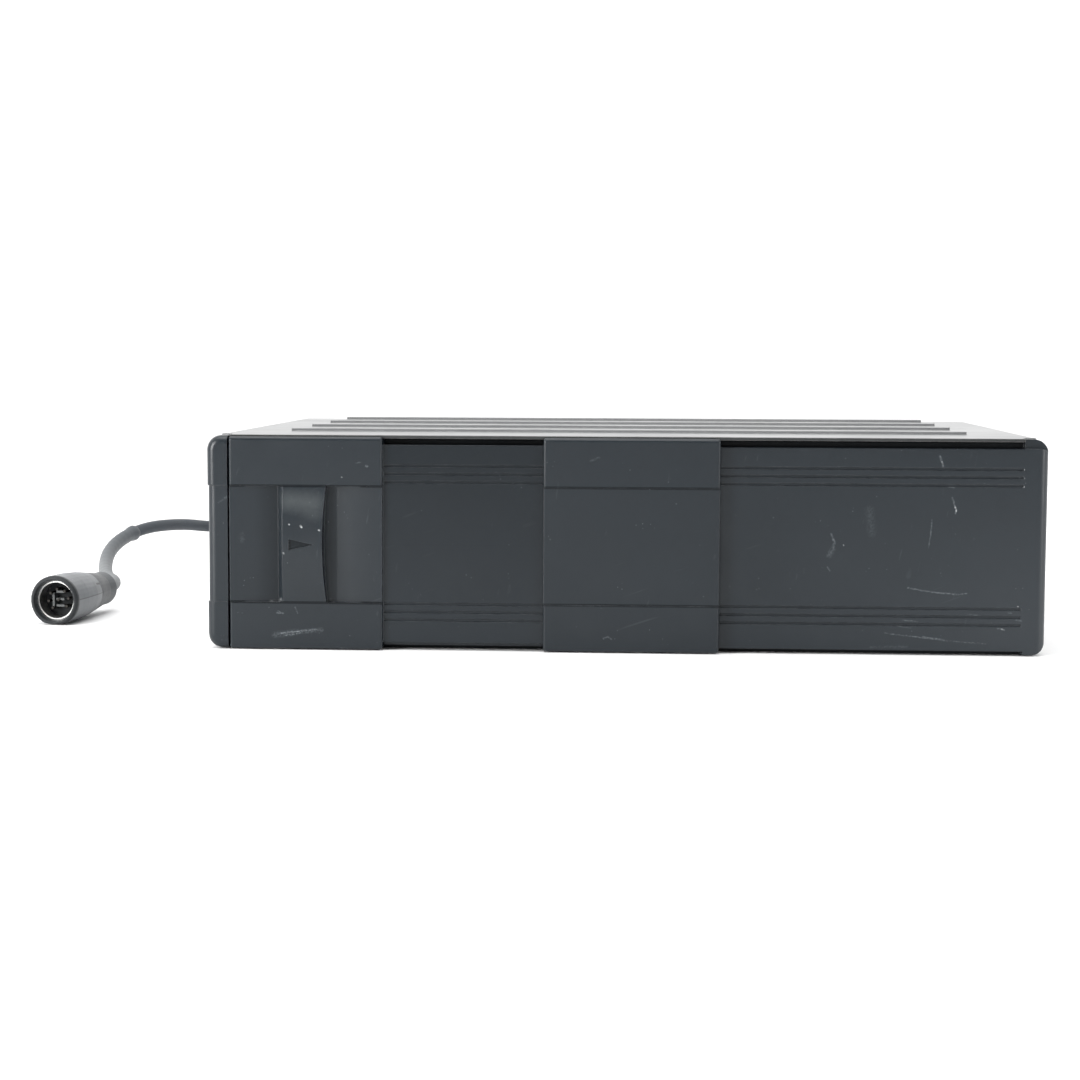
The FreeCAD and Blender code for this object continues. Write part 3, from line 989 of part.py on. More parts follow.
def make_clamp_arm():
    """Pressed arm that holds the clamp puck over the spindle."""
    z0 = CLAMP_Z
    tip = SPINDLE_X
    width = CLAMP_LUG_Y - DECK_T / 2 - RUN
    plan = [(tip, MAG_MID_Y - 11), (CLAMP_X + 2, MAG_MID_Y - width), (CLAMP_X + 2, MAG_MID_Y + width),
            (tip, MAG_MID_Y + 11), (tip - 8, MAG_MID_Y + 9), (tip - 12, MAG_MID_Y + 4), (tip - 12, MAG_MID_Y - 4),
            (tip - 8, MAG_MID_Y - 9)]
    plate = prism_z(plan, z0, z0 + CLAMP_T)
    ears = []
    for side in (-1, 1):
        y = MAG_MID_Y + side * (width - CLAMP_T / 2)
        side = [(CLAMP_X - 9, z0), (CLAMP_X - 2.2, z0 - 2.4), (CLAMP_X + 2.2, z0 - 2.4), (CLAMP_X + 2.0, z0 + 1)]
        ears.append(prism_y(side, y - CLAMP_T / 2, y + CLAMP_T / 2))
    eye = rod_z(z0 - 1, z0 + CLAMP_T + 1, tip, MAG_MID_Y, PUCK_WAIST_R + RUN)
    relief = prism_z([(CLAMP_X - 26, MAG_MID_Y + 7), (CLAMP_X - 6, MAG_MID_Y + 7), (CLAMP_X - 6, MAG_MID_Y + 14),
                      (CLAMP_X - 20, MAG_MID_Y + 11)], z0 - 1, z0 + CLAMP_T + 1)
    other = relief.mirror(V(0, MAG_MID_Y, 0), V(0, 1, 0))
    pivot = bar_y(MAG_MID_Y - 40, MAG_MID_Y + 40, CLAMP_X, z0 - 0.5, CLAMP_PIN_R + 0.1)
    return take(join([plate] + ears), [eye, relief, other, pivot])


def make_clamp_pin():
    reach = CLAMP_LUG_Y + DECK_T / 2 + 0.8
    return bar_y(MAG_MID_Y - reach, MAG_MID_Y + reach, CLAMP_X, CLAMP_Z - 0.5, CLAMP_PIN_R)


def make_clamp_puck():
    """Free-turning puck: the arm's eye holds its waist."""
    z0 = CLAMP_Z
    foot = prism_z(ring_corners(SPINDLE_X, MAG_MID_Y, PUCK_R, 2 * HIDDEN_SIDES), z0 - PUCK_DROP, z0 - PUCK_DROP + PUCK_T)
    waist = rod_z(z0 - PUCK_DROP + PUCK_T, z0 + CLAMP_T + RUN, SPINDLE_X, MAG_MID_Y, PUCK_WAIST_R)
    cap = prism_z(ring_corners(SPINDLE_X, MAG_MID_Y, PUCK_WAIST_R + 2, HIDDEN_SIDES), z0 + CLAMP_T + RUN,
                  z0 + CLAMP_T + RUN + 0.9)
    return join([foot, waist, cap])


# ---------------------------------------------------------------- electronics
BOARD_Z = 9.0
BOARD_T = 1.6
BOARD_X = WALL_X - 13.2
BOARD_FRONT = WHEEL_Y + 5.0
BOARD_BACK = WALL_BACK - SHEET - 1.5
POST_INSET = 6.0
POST_NECK = 2.4


def board_posts():
    return [(x, y) for x in (-BOARD_X + POST_INSET, BOARD_X - POST_INSET)
            for y in (BOARD_FRONT + POST_INSET - 2, BOARD_BACK - POST_INSET + 2)]


def make_main_board():
    board = block(-BOARD_X, BOARD_X, BOARD_FRONT, BOARD_BACK, BOARD_Z, BOARD_Z + BOARD_T)
    half = POST_NECK / 2 + 0.05
    holes = [block(x - half, x + half, y - half, y + half, BOARD_Z - 1, BOARD_Z + BOARD_T + 1) for x, y in board_posts()]
    return take(board, holes)


def make_board_posts():
    """Square nylon posts with a snap head above the board."""
    posts = []
    half = POST_NECK / 2
    for x, y in board_posts():
        foot = block(x - 3, x + 3, y - 3, y + 3, SHEET, BOARD_Z)
        neck = block(x - half, x + half, y - half, y + half, BOARD_Z, BOARD_Z + BOARD_T)
        base_z = BOARD_Z + BOARD_T
        low = Part.makePolygon([V(x - 2, y - 2, base_z), V(x + 2, y - 2, base_z), V(x + 2, y + 2, base_z),
                                V(x - 2, y + 2, base_z), V(x - 2, y - 2, base_z)])
        top = low.copy()
        top.scale(0.4, V(x, y, base_z))
        top.translate(V(0, 0, 2.0))
        head = Part.makeLoft([low, top], True, True)
        posts.append(join([foot, neck, head]))
    return Part.makeCompound(posts)


CHIPS = ((-30.0, 14.0, 14.0, 2.4), (0.0, 18.0, 10.0, 2.2), (38.0, 12.0, 12.0, 2.4))
CANS = ((-66.0, 4.0, 11.0), (-54.0, 3.0, 8.0), (20.0, 4.0, 10.0))


def make_board_chips():
    """Packages that stand on the board: flat chips and electrolytic cans."""
    top = BOARD_Z + BOARD_T
    middle = (BOARD_FRONT + BOARD_BACK) / 2
    chips = [block(x - w / 2, x + w / 2, middle - d / 2, middle + d / 2, top, top + h) for x, w, d, h in CHIPS]
    cans = [prism_z(ring_corners(x, middle, r, HIDDEN_SIDES), top, top + h) for x, r, h in CANS]
    return Part.makeCompound(chips + cans)


def make_heat_sink():
    """Finned block on the board behind the vents."""
    top = BOARD_Z + BOARD_T
    pitch = 4.0
    corners = [(VENT_X + 18, top), (VENT_X + 18, top + 4)]
    for i in range(8):
        x = VENT_X + 16 - i * pitch
        corners += [(x, top + 4), (x, top + 24), (x - 1.4, top + 24), (x - 1.4, top + 4)]
    corners += [(VENT_X - 18, top + 4), (VENT_X - 18, top)]
    return prism_y(corners, BOARD_BACK - 7, BOARD_BACK - 0.6)


def make_lead_header():
    """Socket on the board for the inner end of the lead."""
    top = BOARD_Z + BOARD_T
    shell = block(CORD_EXIT_X - 8, CORD_EXIT_X + 8, BOARD_FRONT + 9, BOARD_FRONT + 15, top, top + 8)
    return take(shell, [block(CORD_EXIT_X - 7, CORD_EXIT_X + 7, BOARD_FRONT + 10, BOARD_FRONT + 14, top + 2, top + 9)])


# ---------------------------------------------------------------- side dials and fasteners
def make_angle_dial(side):
    """Mounting-angle dial: slotted face outside, hub through the wall, eccentric spring pin inside."""
    face_in = SIDE_OUT
    face_out = SIDE_OUT + DIAL_T
    disc = rod_x(face_in, face_out, DIAL_Y, DIAL_Z, DIAL_R)
    slot = block(face_out - 0.7, face_out + 1, DIAL_Y - 6.5, DIAL_Y + 6.5, DIAL_Z - 0.9, DIAL_Z + 0.9)
    arrow = prism_x([(DIAL_Y + 4.0, DIAL_Z - 2.4), (DIAL_Y + 7.6, DIAL_Z), (DIAL_Y + 4.0, DIAL_Z + 2.4)],
                    face_out - 0.7, face_out + 1)
    hub = bar_x(WALL_X - 0.4, face_in, DIAL_Y, DIAL_Z, DIAL_HUB_R)
    pin = bar_x(WALL_X - 1.4, WALL_X, DIAL_Y, DIAL_Z + 3.2, 1.0)
    dial = take(join([disc, hub, pin]), [slot, arrow])
    if side < 0:
        dial = dial.mirror(V(0, 0, 0), V(1, 0, 0))
    return dial


def screw(head_at, inward, length=4.0):
    """Plain screw blank; inward points into the work."""
    head = prism_z(ring_corners(0, 0, SCREW_HEAD_R, HEAD_SIDES), -SCREW_HEAD_H, 0)
    shank = prism_z(ring_corners(0, 0, SCREW_R - 0.1, SHANK_SIDES), 0, length)
    part = join([head, shank])
    part.Placement = FreeCAD.Placement(head_at, FreeCAD.Rotation(V(0, 0, 1), inward))
    return part


def make_cover_screws():
    screws = []
    for y in SIDE_SCREW_YS:
        screws.append(screw(V(SIDE_OUT, y, SIDE_SCREW_Z), V(-1, 0, 0)))
        screws.append(screw(V(-SIDE_OUT, y, SIDE_SCREW_Z), V(1, 0, 0)))
    screws += [screw(V(x, CASE_BACK, REAR_SCREW_Z), V(0, -1, 0)) for x in REAR_SCREW_XS]
    return Part.makeCompound(screws)


def make_nut_strips():
    """Tapped strips inside the side walls, one behind each pair of bracket holes."""
    strips = []
    half = NUT_W / 2
    for x0, x1 in ((WALL_X - NUT_T, WALL_X), (-WALL_X, -WALL_X + NUT_T)):
        for y in (-MOUNT_SPAN_Y / 2, MOUNT_SPAN_Y / 2):
            strip = block(x0, x1, y - half, y + half, MOUNT_LOW_Z - half, MOUNT_LOW_Z + MOUNT_SPAN_Z + half)
            holes = [bar_x(x0 - 1, x1 + 1, y, z, MOUNT_R + 0.1)
                     for z in (MOUNT_LOW_Z, MOUNT_LOW_Z + MOUNT_SPAN_Z)]
            strips.append(strip.cut(holes))
    return Part.makeCompound(strips)


# ---------------------------------------------------------------- lead
def lead_route():
    """Middle line of the lead, from the end of the gland to the tail of the plug."""
    y = BACK
    tail = -PLUG_L - COLLAR_L
    x = -HALF_W
    return [V(CORD_EXIT_X, y + GLAND_TAIL, CORD_EXIT_Z), V(CORD_EXIT_X, y + 27, CORD_EXIT_Z),
            V(x + 14.5, y + 41, 27.4), V(x - 2.5, y + 50, 26), V(x - 24.5, y + 49, 20.2),
            V(x - 42.1, y + 37, 20.9), V(x - 50.8, y + 18, 23.7), V(x - 61.7, y - 4, 23.6),
            V(x - 68.5, y - 26, 18), V(x - 65.4, y - 46, 9), plug_point(tail - 13), plug_point(tail)]


PLUG_FRONT = V(-HALF_W - 63.8, FRONT + 53.4, 8.0)


def plug_point(along):
    """Point on the plug's axis; along is negative towards its tail."""
    turn = math.radians(PLUG_YAW)
    return PLUG_FRONT + V(along * -math.sin(turn), along * -math.cos(turn), 0)


def lay_plug(shape):
    """Turn a shape built along Z, nose up, so that it lies with its nose at PLUG_FRONT."""
    turn = math.radians(PLUG_YAW)
    nose = V(-math.sin(turn), -math.cos(turn), 0)
    shape.Placement = FreeCAD.Placement(PLUG_FRONT, FreeCAD.Rotation(V(0, 0, 1), nose)).multiply(shape.Placement)
    return shape


def tube(points, radius, name):
    """Many-sided tube along straight runs joined by tangent arcs; prints the arcs' radii."""
    edges = []
    radii = []
    length = 0.0
    start = points[0]
    for i in range(1, len(points) - 1):
        a, b, c = points[i - 1], points[i], points[i + 1]
        turn = (b - a).getAngle(c - b)
        bend = 0.45 * min((b - a).Length, (c - b).Length) / math.tan(turn / 2)
        into, middle, out = corner_arc(a, b, c, bend)
        edges.append(Part.LineSegment(start, into).toShape())
        edges.append(Part.Arc(into, middle, out).toShape())
        length += (into - start).Length + bend * turn
        radii.append(round(bend, 1))
        start = out
    edges.append(Part.LineSegment(start, points[-1]).toShape())
    length += (points[-1] - start).Length
    path = Part.Wire(edges)
    square = FreeCAD.Rotation(V(0, 0, 1), points[1] - points[0])
    corners = [points[0] + square.multVec(V(u, v, 0)) for u, v in ring_corners(0, 0, radius, LEAD_SIDES)]
    section = Part.makePolygon(corners + corners[:1])
    solid = path.makePipeShell([section], True, False)
    wanted = Part.Face(section).Area * length
    print(name, "length", round(length, 1), "radii", radii, "volume ratio", round(solid.Volume / wanted, 4))
    return solid


def make_lead():
    return tube(lead_route(), CORD_R, "lead")


def make_lead_gland():
    """Rubber gland in the rear wall with a tapered tail."""
    y0 = WALL_BACK - SHEET - 1.4
    profile = [(GLAND_NECK_R, y0), (GLAND_NECK_R, WALL_BACK), (GLAND_R, WALL_BACK), (GLAND_R, WALL_BACK + 2.0),
               (CORD_R + 1.6, WALL_BACK + 2.6), (CORD_R + 0.7, BACK + GLAND_TAIL)]
    return spun(profile, GLAND_SIDES, lambda u, v, h: V(CORD_EXIT_X + u, h, CORD_EXIT_Z + v))


def make_plug_body():
    """Moulded body: a hood round the ring, a waist that tapers to the tail, and a flat underside."""
    profile = [(PLUG_TAIL_R, -PLUG_L), (PLUG_R - 0.5, -PLUG_L * 0.55), (PLUG_R, -PLUG_L * 0.3),
               (PLUG_R, -0.8), (PLUG_R - 0.6, 0)]
    body = spun(profile, PLUG_SIDES, V)
    seat = bar_z(-HOOD_L - SHELL_L, 1, 0, 0, SHELL_R + 0.12, PLUG_SIDES)
    flare = spun([(SHELL_R + 0.12, -HOOD_L), (PLUG_R - 1.3, 0.1)], PLUG_SIDES, V)
    body = take(body, [seat, flare])
    lay_plug(body)
    return body.common(block(-HALF_W - 100, 0, FRONT, BACK, 0.3, 40))


def make_plug_collar():
    """Stepped collar where the lead enters the plug."""
    end = -PLUG_L - COLLAR_L
    profile = [(COLLAR_END_R, end), (COLLAR_R, end + 3.0), (COLLAR_R, -PLUG_L)]
    return lay_plug(spun(profile, PLUG_SIDES, V))


def make_plug_shell():
    """Plated contact ring with its key slit, seated in the moulded body."""
    start = -HOOD_L - SHELL_L
    ring = bar_z(start, -HOOD_L, 0, 0, SHELL_R, PLUG_SIDES)
    ring = ring.cut(bar_z(start - 1, 1, 0, 0, SHELL_R - SHELL_T, PLUG_SIDES))
    slit = block(SHELL_R - 1.5, SHELL_R + 1, -0.8, 0.8, start + 3.5, 1)
    return lay_plug(ring.cut(slit))


def plug_pin_places():
    """Seven contacts on a horseshoe and one in the middle."""
    ring = 3.6
    places = [(0.0, 0.0)]
    for i in range(7):
        angle = math.radians(-135 + 45 * i)
        places.append((ring * math.sin(angle), ring * math.cos(angle)))
    return places


def make_plug_insert():
    """Insulator deep in the ring; the contacts stand on it."""
    start = -HOOD_L - SHELL_L
    return lay_plug(bar_z(start, start + INSERT_T, 0, 0, SHELL_R - SHELL_T, PLUG_SIDES))


def make_plug_pins():
    pins = []
    start = -HOOD_L - SHELL_L + INSERT_T
    for u, v in plug_pin_places():
        pins.append(lay_plug(bar_z(start, -HOOD_L - 1.6, u, v, PIN_WIRE_R, SHANK_SIDES)))
    return Part.makeCompound(pins)


# ---------------------------------------------------------------- every piece by its name
PIECES = {
    "bottom_chassis": make_bottom_chassis,
    "top_cover": make_top_cover,
    "front_bezel": make_front_bezel,
    "grip_door": make_grip_door,
    "centre_slider": make_centre_slider,
    "eject_button": make_eject_button,
    "eject_spring": make_eject_spring,
    "eject_lever": make_eject_lever,
    "latch_bracket": make_latch_bracket,
    "magazine_shell": make_magazine_shell,
    "magazine_bay": make_magazine_bay,
    "float_frame": make_float_frame,
    "damper_cups": make_dampers,
    "suspension_springs": make_suspension_springs,
    "deck_plate": make_deck_plate,
    "spindle_motor": make_spindle_motor,
    "turntable": make_turntable,
    "guide_rods": make_guide_rods,
    "pickup_sled": make_pickup_sled,
    "pickup_lens": make_pickup_lens,
    "leadscrew": make_leadscrew,
    "sled_motor": make_sled_motor,
    "clamp_arm": make_clamp_arm,
    "clamp_pin": make_clamp_pin,
    "clamp_puck": make_clamp_puck,
    "lift_cam_rear": make_lift_cam_rear,
    "lift_cam_side": make_lift_cam_side,
    "lift_gear": make_lift_gear,
    "drive_pinion": make_drive_pinion,
    "lift_motor": make_lift_motor,
    "main_board": make_main_board,
    "board_posts": make_board_posts,
    "board_chips": make_board_chips,
    "heat_sink": make_heat_sink,
    "lead_header": make_lead_header,
    "angle_dial_left": lambda: make_angle_dial(-1),
    "angle_dial_right": lambda: make_angle_dial(1),
    "cover_screws": make_cover_screws,
    "nut_strips": make_nut_strips,
    "lead": make_lead,
    "lead_gland": make_lead_gland,
    "plug_body": make_plug_body,
    "plug_collar": make_plug_collar,
    "plug_shell": make_plug_shell,
    "plug_insert": make_plug_insert,
    "plug_pins": make_plug_pins,
}
for number in range(TRAY_COUNT):
    PIECES["disc_tray_" + str(number + 1)] = lambda number=number: make_tray(number)

os.makedirs("parts", exist_ok=True)
for name, make in PIECES.items():
    shape = make()
    shape.exportStep("parts/" + name + ".step")
    print(name, "solids", len(shape.Solids), "volume", round(shape.Volume, 1), "valid", shape.isValid())
print("travel: grip", GRIP_TRAVEL, "centre", CENTRE_TRAVEL, "lift", LIFT_TRAVEL, "tray", TRAY_TRAVEL)
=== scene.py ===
import math
import random

import bmesh
import bpy
from mathutils import Matrix, Vector


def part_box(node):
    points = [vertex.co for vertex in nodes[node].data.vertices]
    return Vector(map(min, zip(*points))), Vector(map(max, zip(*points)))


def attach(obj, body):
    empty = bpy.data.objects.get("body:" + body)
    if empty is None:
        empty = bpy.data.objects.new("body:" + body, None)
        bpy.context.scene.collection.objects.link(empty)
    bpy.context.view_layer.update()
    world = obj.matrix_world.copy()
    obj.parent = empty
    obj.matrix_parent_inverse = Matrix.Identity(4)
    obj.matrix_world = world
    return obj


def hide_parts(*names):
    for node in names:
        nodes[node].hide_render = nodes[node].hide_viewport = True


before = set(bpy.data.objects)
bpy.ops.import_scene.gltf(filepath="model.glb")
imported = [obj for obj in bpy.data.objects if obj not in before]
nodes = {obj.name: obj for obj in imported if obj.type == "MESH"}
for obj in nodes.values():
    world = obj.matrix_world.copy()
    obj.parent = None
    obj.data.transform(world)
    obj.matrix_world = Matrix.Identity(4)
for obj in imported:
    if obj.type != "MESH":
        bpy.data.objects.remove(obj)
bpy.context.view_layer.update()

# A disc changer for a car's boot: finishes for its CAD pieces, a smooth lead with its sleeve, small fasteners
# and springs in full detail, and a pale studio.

MM = 0.001
random.seed(7)


def mm(*values):
    """A place given in millimetres, in metres."""
    return Vector([v * MM for v in values])


def box_mm(node):
    """A node's lowest and highest corners, in millimetres."""
    return [[round(value / MM, 2) for value in corner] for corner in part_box(node)]


# ---------------------------------------------------------------- camera, in metres and radians
CAMERA_AT = (0.01205, -0.7450, 0.09185)
CAMERA_YAW = -0.057
CAMERA_PITCH = 0.0862
CAMERA_ROLL = 0.0037
CAMERA_LENS = 71.99
SENSOR_WIDTH = 36.0
CLIP_NEAR = 0.01
CLIP_FAR = 20.0


def make_camera():
    """Looks at the front from a little to the right and a little above."""
    ahead = Vector((math.sin(CAMERA_YAW) * math.cos(CAMERA_PITCH),
                    math.cos(CAMERA_YAW) * math.cos(CAMERA_PITCH), -math.sin(CAMERA_PITCH)))
    right = Vector((math.cos(CAMERA_YAW), -math.sin(CAMERA_YAW), 0))
    up = right.cross(ahead)
    cos_roll, sin_roll = math.cos(CAMERA_ROLL), math.sin(CAMERA_ROLL)
    right, up = cos_roll * right + sin_roll * up, cos_roll * up - sin_roll * right
    camera = bpy.data.objects.new("camera", bpy.data.cameras.new("camera"))
    bpy.context.scene.collection.objects.link(camera)
    turn = Matrix((right, up, -ahead)).transposed().to_4x4()
    camera.matrix_world = Matrix.Translation(CAMERA_AT) @ turn
    camera.data.sensor_width = SENSOR_WIDTH
    camera.data.lens = CAMERA_LENS
    camera.data.clip_start = CLIP_NEAR
    camera.data.clip_end = CLIP_FAR
    bpy.context.scene.camera = camera


# ---------------------------------------------------------------- materials
class Paint:
    """A node material, built up in layers. Its patterns read object coordinates, which are metres in the
    model's frame, because every piece has its object at the origin."""

    MIX_A, MIX_B, MIX_RESULT = 6, 7, 2  # colour sockets of a Mix node
    EDGE_COSINES = (0.995, 0.86)        # of the normal's turn where an edge starts, and where it is full

    def __init__(self, name, color, rough, metallic=0.0, **sockets):
        self.mat = bpy.data.materials.new(name)
        self.mat.use_nodes = True
        self.tree = self.mat.node_tree
        self.shader = self.tree.nodes["Principled BSDF"]
        self.shader.inputs["Metallic"].default_value = metallic
        for key, value in sockets.items():
            self.shader.inputs[key.replace("_", " ")].default_value = value
        self.where = self.node("ShaderNodeTexCoord").outputs["Object"]
        self.color = (*color, 1.0)
        self.rough = rough
        self.shine = self.shader.inputs["Specular IOR Level"].default_value
        self.normal = None

    def node(self, kind, **settings):
        made = self.tree.nodes.new(kind)
        for key, value in settings.items():
            setattr(made, key, value)
        return made

    def feed(self, socket, value):
        if isinstance(value, bpy.types.NodeSocket):
            self.tree.links.new(value, socket)
        else:
            socket.default_value = value

    def math(self, operation, a, b=0.0, clamp=False):
        made = self.node("ShaderNodeMath", operation=operation, use_clamp=clamp)
        self.feed(made.inputs[0], a)
        self.feed(made.inputs[1], b)
        return made.outputs[0]

    def vector(self, operation, a, b=(0, 0, 0), output="Vector"):
        made = self.node("ShaderNodeVectorMath", operation=operation)
        self.feed(made.inputs[0], a)
        self.feed(made.inputs["Scale" if operation == "SCALE" else 1], b)
        return made.outputs[output]

    # ------------------------------------------------ places and masks
    def axis(self, x=0, y=0, z=0):
        """Distance along a direction, in metres."""
        return self.vector("DOT_PRODUCT", self.where, (x, y, z), output="Value")

    def ramp(self, value, low, high, out_low=0.0, out_high=1.0):
        """Goes from out_low to out_high as the value goes from low to high, and stays there beyond."""
        made = self.node("ShaderNodeMapRange")
        self.feed(made.inputs["Value"], value)
        made.inputs["From Min"].default_value = low
        made.inputs["From Max"].default_value = high
        made.inputs["To Min"].default_value = out_low
        made.inputs["To Max"].default_value = out_high
        return made.outputs[0]

    def fade(self, distance, none, full, least=0.0):
        """A mask that grows from least to 1 between two places, given in millimetres."""
        return self.ramp(distance, none * MM, full * MM, least)

    def both(self, a, b):
        return self.math("MULTIPLY", a, b)

    def either(self, a, b):
        return self.math("MAXIMUM", a, b)

    def away_from(self, distance, place):
        """How far a distance is from a place in millimetres, either way."""
        return self.math("ABSOLUTE", self.math("SUBTRACT", distance, place * MM))

    # ------------------------------------------------ patterns
    def turned(self, turn, scale):
        """Coordinates turned about the axes (degrees), then stretched."""
        spin = self.node("ShaderNodeMapping")
        self.feed(spin.inputs["Vector"], self.where)
        spin.inputs["Rotation"].default_value = [math.radians(t) for t in turn]
        size = self.node("ShaderNodeMapping")
        self.feed(size.inputs["Vector"], spin.outputs[0])
        size.inputs["Scale"].default_value = scale
        return size.outputs[0]

    def noise(self, scale, detail=2.0, rough=0.5, at=None, output="Fac"):
        made = self.node("ShaderNodeTexNoise")
        self.feed(made.inputs["Vector"], at or self.where)
        made.inputs["Scale"].default_value = scale
        made.inputs["Detail"].default_value = detail
        made.inputs["Roughness"].default_value = rough
        return made.outputs[output]

    def cells(self, scale, feature="F1", at=None):
        """Distance to the points of a cell pattern, or to the cells' borders."""
        made = self.node("ShaderNodeTexVoronoi", feature=feature)
        self.feed(made.inputs["Vector"], at or self.where)
        made.inputs["Scale"].default_value = scale
        return made.outputs["Distance"]

    def edges(self, radius):
        """1 along sharp edges, 0 on faces."""
        soft = self.node("ShaderNodeBevel", samples=4)
        soft.inputs["Radius"].default_value = radius
        flat = self.node("ShaderNodeNewGeometry").outputs["Normal"]
        along = self.vector("DOT_PRODUCT", soft.outputs[0], flat, output="Value")
        return self.ramp(along, *self.EDGE_COSINES)

    # ------------------------------------------------ what a layer does to the surface
    def tint(self, mask, color, blend="MIX"):
        """Mixes a colour over what is there."""
        made = self.node("ShaderNodeMix", data_type="RGBA", blend_type=blend)
        self.feed(made.inputs[0], mask)
        self.feed(made.inputs[self.MIX_A], self.color)
        over = color if isinstance(color, bpy.types.NodeSocket) else (*color, 1.0)
        self.feed(made.inputs[self.MIX_B], over)
        self.color = made.outputs[self.MIX_RESULT]

    def scale(self, value):
        """Multiplies the colour by a grey value."""
        spread = self.node("ShaderNodeCombineColor")
        for i in range(3):
            self.feed(spread.inputs[i], value)
        self.tint(1.0, spread.outputs[0], "MULTIPLY")

    def sink(self, mask, amount):
        """Takes tone and shine away where mask is 1; mostly painted shade, as in a groove that little light
        reaches.
        """
        kept = self.math("SUBTRACT", 1.0, self.both(mask, amount))
        self.scale(kept)
        self.shine = self.both(kept, self.shine)

    def roughen(self, mask, amount):
        self.rough = self.math("ADD", self.rough, self.both(mask, amount), clamp=True)

    def bump(self, height, depth):
        """Relief of depth metres where height goes from 0 to 1."""
        made = self.node("ShaderNodeBump")
        made.inputs["Strength"].default_value = 1.0
        made.inputs["Distance"].default_value = depth
        self.feed(made.inputs["Height"], height)
        if self.normal is not None:
            self.feed(made.inputs["Normal"], self.normal)
        self.normal = made.outputs[0]

    def round_edges(self, radius):
        """Shades sharp edges as if they were rounded off; comes before any bump."""
        soft = self.node("ShaderNodeBevel", samples=6)
        soft.inputs["Radius"].default_value = radius
        self.normal = soft.outputs[0]

    # ------------------------------------------------ layers that several finishes share
    def mottle(self, amount, scale=35.0):
        """Slow changes of tone, as on an old moulding."""
        self.scale(self.ramp(self.noise(scale, 4.0, 0.6), 0.3, 0.7, 1 - amount, 1 + amount))

    def smudges(self, amount, scale=60.0):
        """Patches with less gloss, as handling leaves them."""
        self.roughen(self.ramp(self.noise(scale, 5.0, 0.65), 0.35, 0.75), amount)

    def grain(self, depth, scale=2200.0):
        self.bump(self.noise(scale, 2.0, 0.6), depth)

    def hairlines(self, color, amount, turns, scale=900.0):
        """Fine long scratches in patches; each turn gives one direction."""
        for i, turn in enumerate(turns):
            line = self.noise(scale, 1.0, 0.4, at=self.turned(turn, (0.03, 1.0, 1.0)))
            thin = self.ramp(line, 0.70, 0.76)
            here = self.ramp(self.noise(45.0 + 9.0 * i), 0.54, 0.66)
            mask = self.both(self.both(thin, here), amount)
            self.tint(mask, color)
            self.roughen(mask, 0.12)

    def dust(self, color, amount, scale=700.0, size=0.12):
        """Specks in patches; size is a speck's share of its cell."""
        speck = self.ramp(self.cells(scale), size, size * 0.4)
        here = self.ramp(self.noise(scale * 0.23, 1.0), 0.60, 0.66)
        self.tint(self.both(self.both(speck, here), amount), color)

    # Edges painted lighter in broken patches: partly wear, partly painted highlight where rounded edges would
    # catch the light.
    def worn_and_highlit_edges(self, color, amount, radius=0.0005):
        broken = self.ramp(self.noise(300.0, 4.0, 0.7), 0.36, 0.62)
        self.tint(self.both(self.both(self.edges(radius), broken), amount), color)

    def brushed(self, depth, turn):
        """Fine parallel lines, as rolling leaves them."""
        line = self.noise(1400.0, 3.0, 0.6, at=self.turned(turn, (0.02, 1.0, 1.0)))
        self.bump(line, depth)
        self.roughen(line, 0.10)

    def marks(self, strokes, color, ragged=0.0006, soft=0.1, rougher=0.15, broken=True):
        """Scratches along lines: (start, end, half width, strength), in metres. Their sides are ragged by so
        many metres, they are full up to the soft share of their half width, and broken ones have gaps."""
        shake = self.vector("SUBTRACT", self.noise(800.0, 3.0, 0.6, output="Color"), (0.5, 0.5, 0.5))
        place = self.vector("ADD", self.where, self.vector("SCALE", shake, ragged))
        mask = 0.0
        for start, end, width, strength in strokes:
            along = end - start
            unit = tuple(along.normalized())
            offset = self.vector("SUBTRACT", place, tuple(start))
            run = self.vector("DOT_PRODUCT", offset, unit, output="Value")
            run = self.math("MINIMUM", self.math("MAXIMUM", run, 0.0), along.length)
            aside = self.vector("SUBTRACT", offset, self.vector("SCALE", unit, run))
            far = self.vector("LENGTH", aside, output="Value")
            mask = self.either(mask, self.ramp(far, width * 1.3, width * soft, 0.0, strength))
        if broken:
            mask = self.both(mask, self.ramp(self.noise(1500.0, 3.0, 0.7), 0.40, 0.60, 0.08, 1.0))
        self.tint(mask, color)
        self.roughen(mask, rougher)

    def done(self):
        self.feed(self.shader.inputs["Base Color"], self.color)
        self.feed(self.shader.inputs["Roughness"], self.rough)
        self.feed(self.shader.inputs["Specular IOR Level"], self.shine)
        if self.normal is not None:
            self.feed(self.shader.inputs["Normal"], self.normal)
        return self.mat


# ---------------------------------------------------------------- places on the front, in millimetres
FRONT_Y = box_mm("front_bezel")[0][1]     # face of the end posts and the sliding blocks
BAR_Y = box_mm("grip_door")[0][1] + 0.15  # just behind the crown of the grip block's bar
PANEL_Y = FRONT_Y + 3.5                   # face of the fixed panel
RECESS_Y = FRONT_Y + 1.2                  # inside the finger recesses
BAND_Z = (14.6, 50.8)                     # level grooves across the blocks
POST_EDGE_X = -122.3                      # inner edge of the left post
PANEL_END_X = 121.8                       # where the panel's grooves and rails end
BLOCK_EDGE_X = -74.35                     # right edge of the grip block, where its plate begins to show
BAR_X = -98.05                            # on the bar, between the two recesses
BAR_SHADE_LEFT = (-115.0, -106.0)         # where the left recess's painted shade begins, and where it is darkest
BAR_SHADE_RIGHT = (-84.5, -91.5)          # the same in the right recess
ARROW_X = -103.25                         # blunt end of the arrow on the bar
ARROW_Z = 32.7
ARROW_LENGTH = 7.6
ARROW_HALF = 1.7                          # half the height of its blunt end
LIP_Y = -80.5                             # the cover's front edge lies ahead of this
COVER_FLAT_Z = 66.5                       # top of the cover between its ribs


